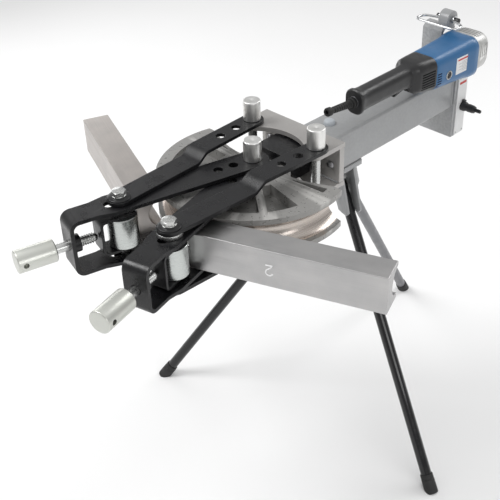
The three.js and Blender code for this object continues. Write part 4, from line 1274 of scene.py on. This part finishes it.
def make_leg(name):
    bolt, sole = leg_ends(name)
    down = (sole - bolt).normalized()
    place = frame_of(bolt, down)
    hinge = frame_of(bolt, down.cross(UP))
    low, high = measured(f"leg_{name}", place)
    outside = [(0, low.z), (LEG_RADIUS, low.z), (LEG_RADIUS, high.z), (0, high.z)]
    tube = lathe(bored(outside, LEG_BORE), place, 56)
    plug = cylinder(10 * MM, low.z + MM, low.z + 4 * MM, place)
    eye = cylinder(5.3 * MM, -30 * MM, 30 * MM, hinge)
    paint = dull_paint if name == "rear" else black_gloss
    stands_for(f"leg_{name}", cut(joined(tube, plug), eye), paint, 0.5 * MM, limit=50)
    make_leg_bolt(f"leg_bolt_{name}", hinge)
    make_foot(f"foot_{name}", place, sole)


def make_leg_bolt(node, place):
    """A long bolt across a fork, with a hexagon and a washer at each of its ends."""
    low, high = measured(node, place)
    shank = cylinder(5 * MM, low.z, high.z, place)
    heads = []
    for end in (high.z, low.z):
        sign = 1 if end > 0 else -1
        outer = end if abs(end) < 25 * MM else sign * 26 * MM
        heads.append(prism(hex_outline(9 * MM), *sorted((sign * 18.9 * MM, outer)), place))
        heads.append(cylinder(10.4 * MM, *sorted((sign * 18.85 * MM, sign * 20.2 * MM)), place))
    stands_for(node, joined(shank, *heads), zinc, 0.5 * MM)


def make_foot(node, place, sole):
    """A rubber cup, cut off level with the floor."""
    sole_at = (place.inverted() @ sole).z
    top = sole_at - 40 * MM
    rim = turned([(12.9, 0), (14, 0), (14.6, 1.5), (14.8, 11), (13.8, 12), (15, 13)], top)
    tread = turned([(15.6, -4), (15.6, 6), (0, 6)], sole_at)
    well = turned([(0, 20.4), (12.9, 20.4)], top)
    ground = box((-2, -2, -0.1), (2, 2, 0))
    stands_for(node, cut(lathe([*rim, *tread, *well], place, 56), ground), rubber, 0.7 * MM, limit=45)


def make_stand():
    as_drawn("stand_bracket", grey_paint, 0.9 * MM)
    for name in ("rear", "front_left", "front_right"):
        make_leg(name)


# --- room
# each light's name, place, size and power
LIGHTS = (("key", (-1.4, -1.6, 3.2), (1.3, 1.3), 52),
          ("fill", (2.8, -0.8, 1.6), (0.8, 2.0), 16),
          ("back", (0.6, 2.8, 2.6), (2.2, 1.0), 30),
          ("side", (-2.8, 0.6, 1.4), (0.8, 1.8), 12))
LIT_POINT = Vector((0, 0, 0.7))
SKY_LEVELS = ((0.16, 0.40), (0.42, 0.52), (0.7, 0.72))      # brightness at heights from 0 to 1


def make_floor():
    reach = 30
    mesh = bmesh.new()
    corners = ((-reach, -reach), (reach, -reach), (reach, reach), (-reach, reach))
    mesh.faces.new([mesh.verts.new((x, y, 0)) for x, y in corners])
    floor = solid(mesh)
    floor.name = "studio_floor"
    s = Shader("studio_floor", 0, 0.75)
    white = s.blend(s.noise(0.8), (0.90, 0.90, 0.90), (0.93, 0.93, 0.93))
    s.fill(s.surface, {"Base Color": white, "Roughness": s.between(s.noise(6), 0.7, 0.8)})
    floor.data.materials.append(s.material)


def make_lights():
    for name, place, size, power in LIGHTS:
        data = bpy.data.lights.new(name, "AREA")
        data.shape = "RECTANGLE"
        data.size, data.size_y = size
        data.energy = power
        light = bpy.data.objects.new(name, data)
        light.matrix_world = frame_of(place, Vector(place) - LIT_POINT)
        bpy.context.scene.collection.objects.link(light)
    bpy.context.scene.view_settings.view_transform = "Standard"


def make_sky():
    """A studio with a pale horizon, dim low walls and a bright ceiling, so that metal shows contrast."""
    world = bpy.data.worlds.new("studio")
    world.use_nodes = True
    nodes, links = world.node_tree.nodes, world.node_tree.links
    direction = nodes.new("ShaderNodeTexCoord")
    parts = nodes.new("ShaderNodeSeparateXYZ")
    ramp = nodes.new("ShaderNodeValToRGB")
    links.new(direction.outputs["Generated"], parts.inputs["Vector"])
    links.new(parts.outputs["Z"], ramp.inputs["Fac"])
    links.new(ramp.outputs["Color"], nodes["Background"].inputs["Color"])
    stops = ramp.color_ramp.elements
    stops[0].position, stops[0].color = 0.06, (0.8, 0.8, 0.8, 1)
    stops[1].position, stops[1].color = 1.0, (1, 1, 1, 1)
    for position, level in SKY_LEVELS:
        stops.new(position).color = (level, level, level, 1)
    nodes["Background"].inputs["Strength"].default_value = 0.9
    bpy.context.scene.world = world


make_camera()
make_head()
make_wall_bolts()
make_pins()
make_former()
make_ram()
for side in SIDES:
    make_yoke(side)
    make_cradle(side)
    make_link(side, "top")
    make_link(side, "bottom")
    make_roller(side)
    make_roller_bolt(side)
    make_washers(side)
    make_clamp_screw(side)
    make_clamp_knob(side)
    make_follow_bar(side)
make_size_mark()
make_beam()
make_beam_plug()
make_gearbox()
make_selector()
make_carrying_handle()
make_motor_housing()
make_gear_head()
make_motor_handle()
make_trigger()
make_cord_guard()
make_stand()
make_floor()
make_lights()
make_sky()
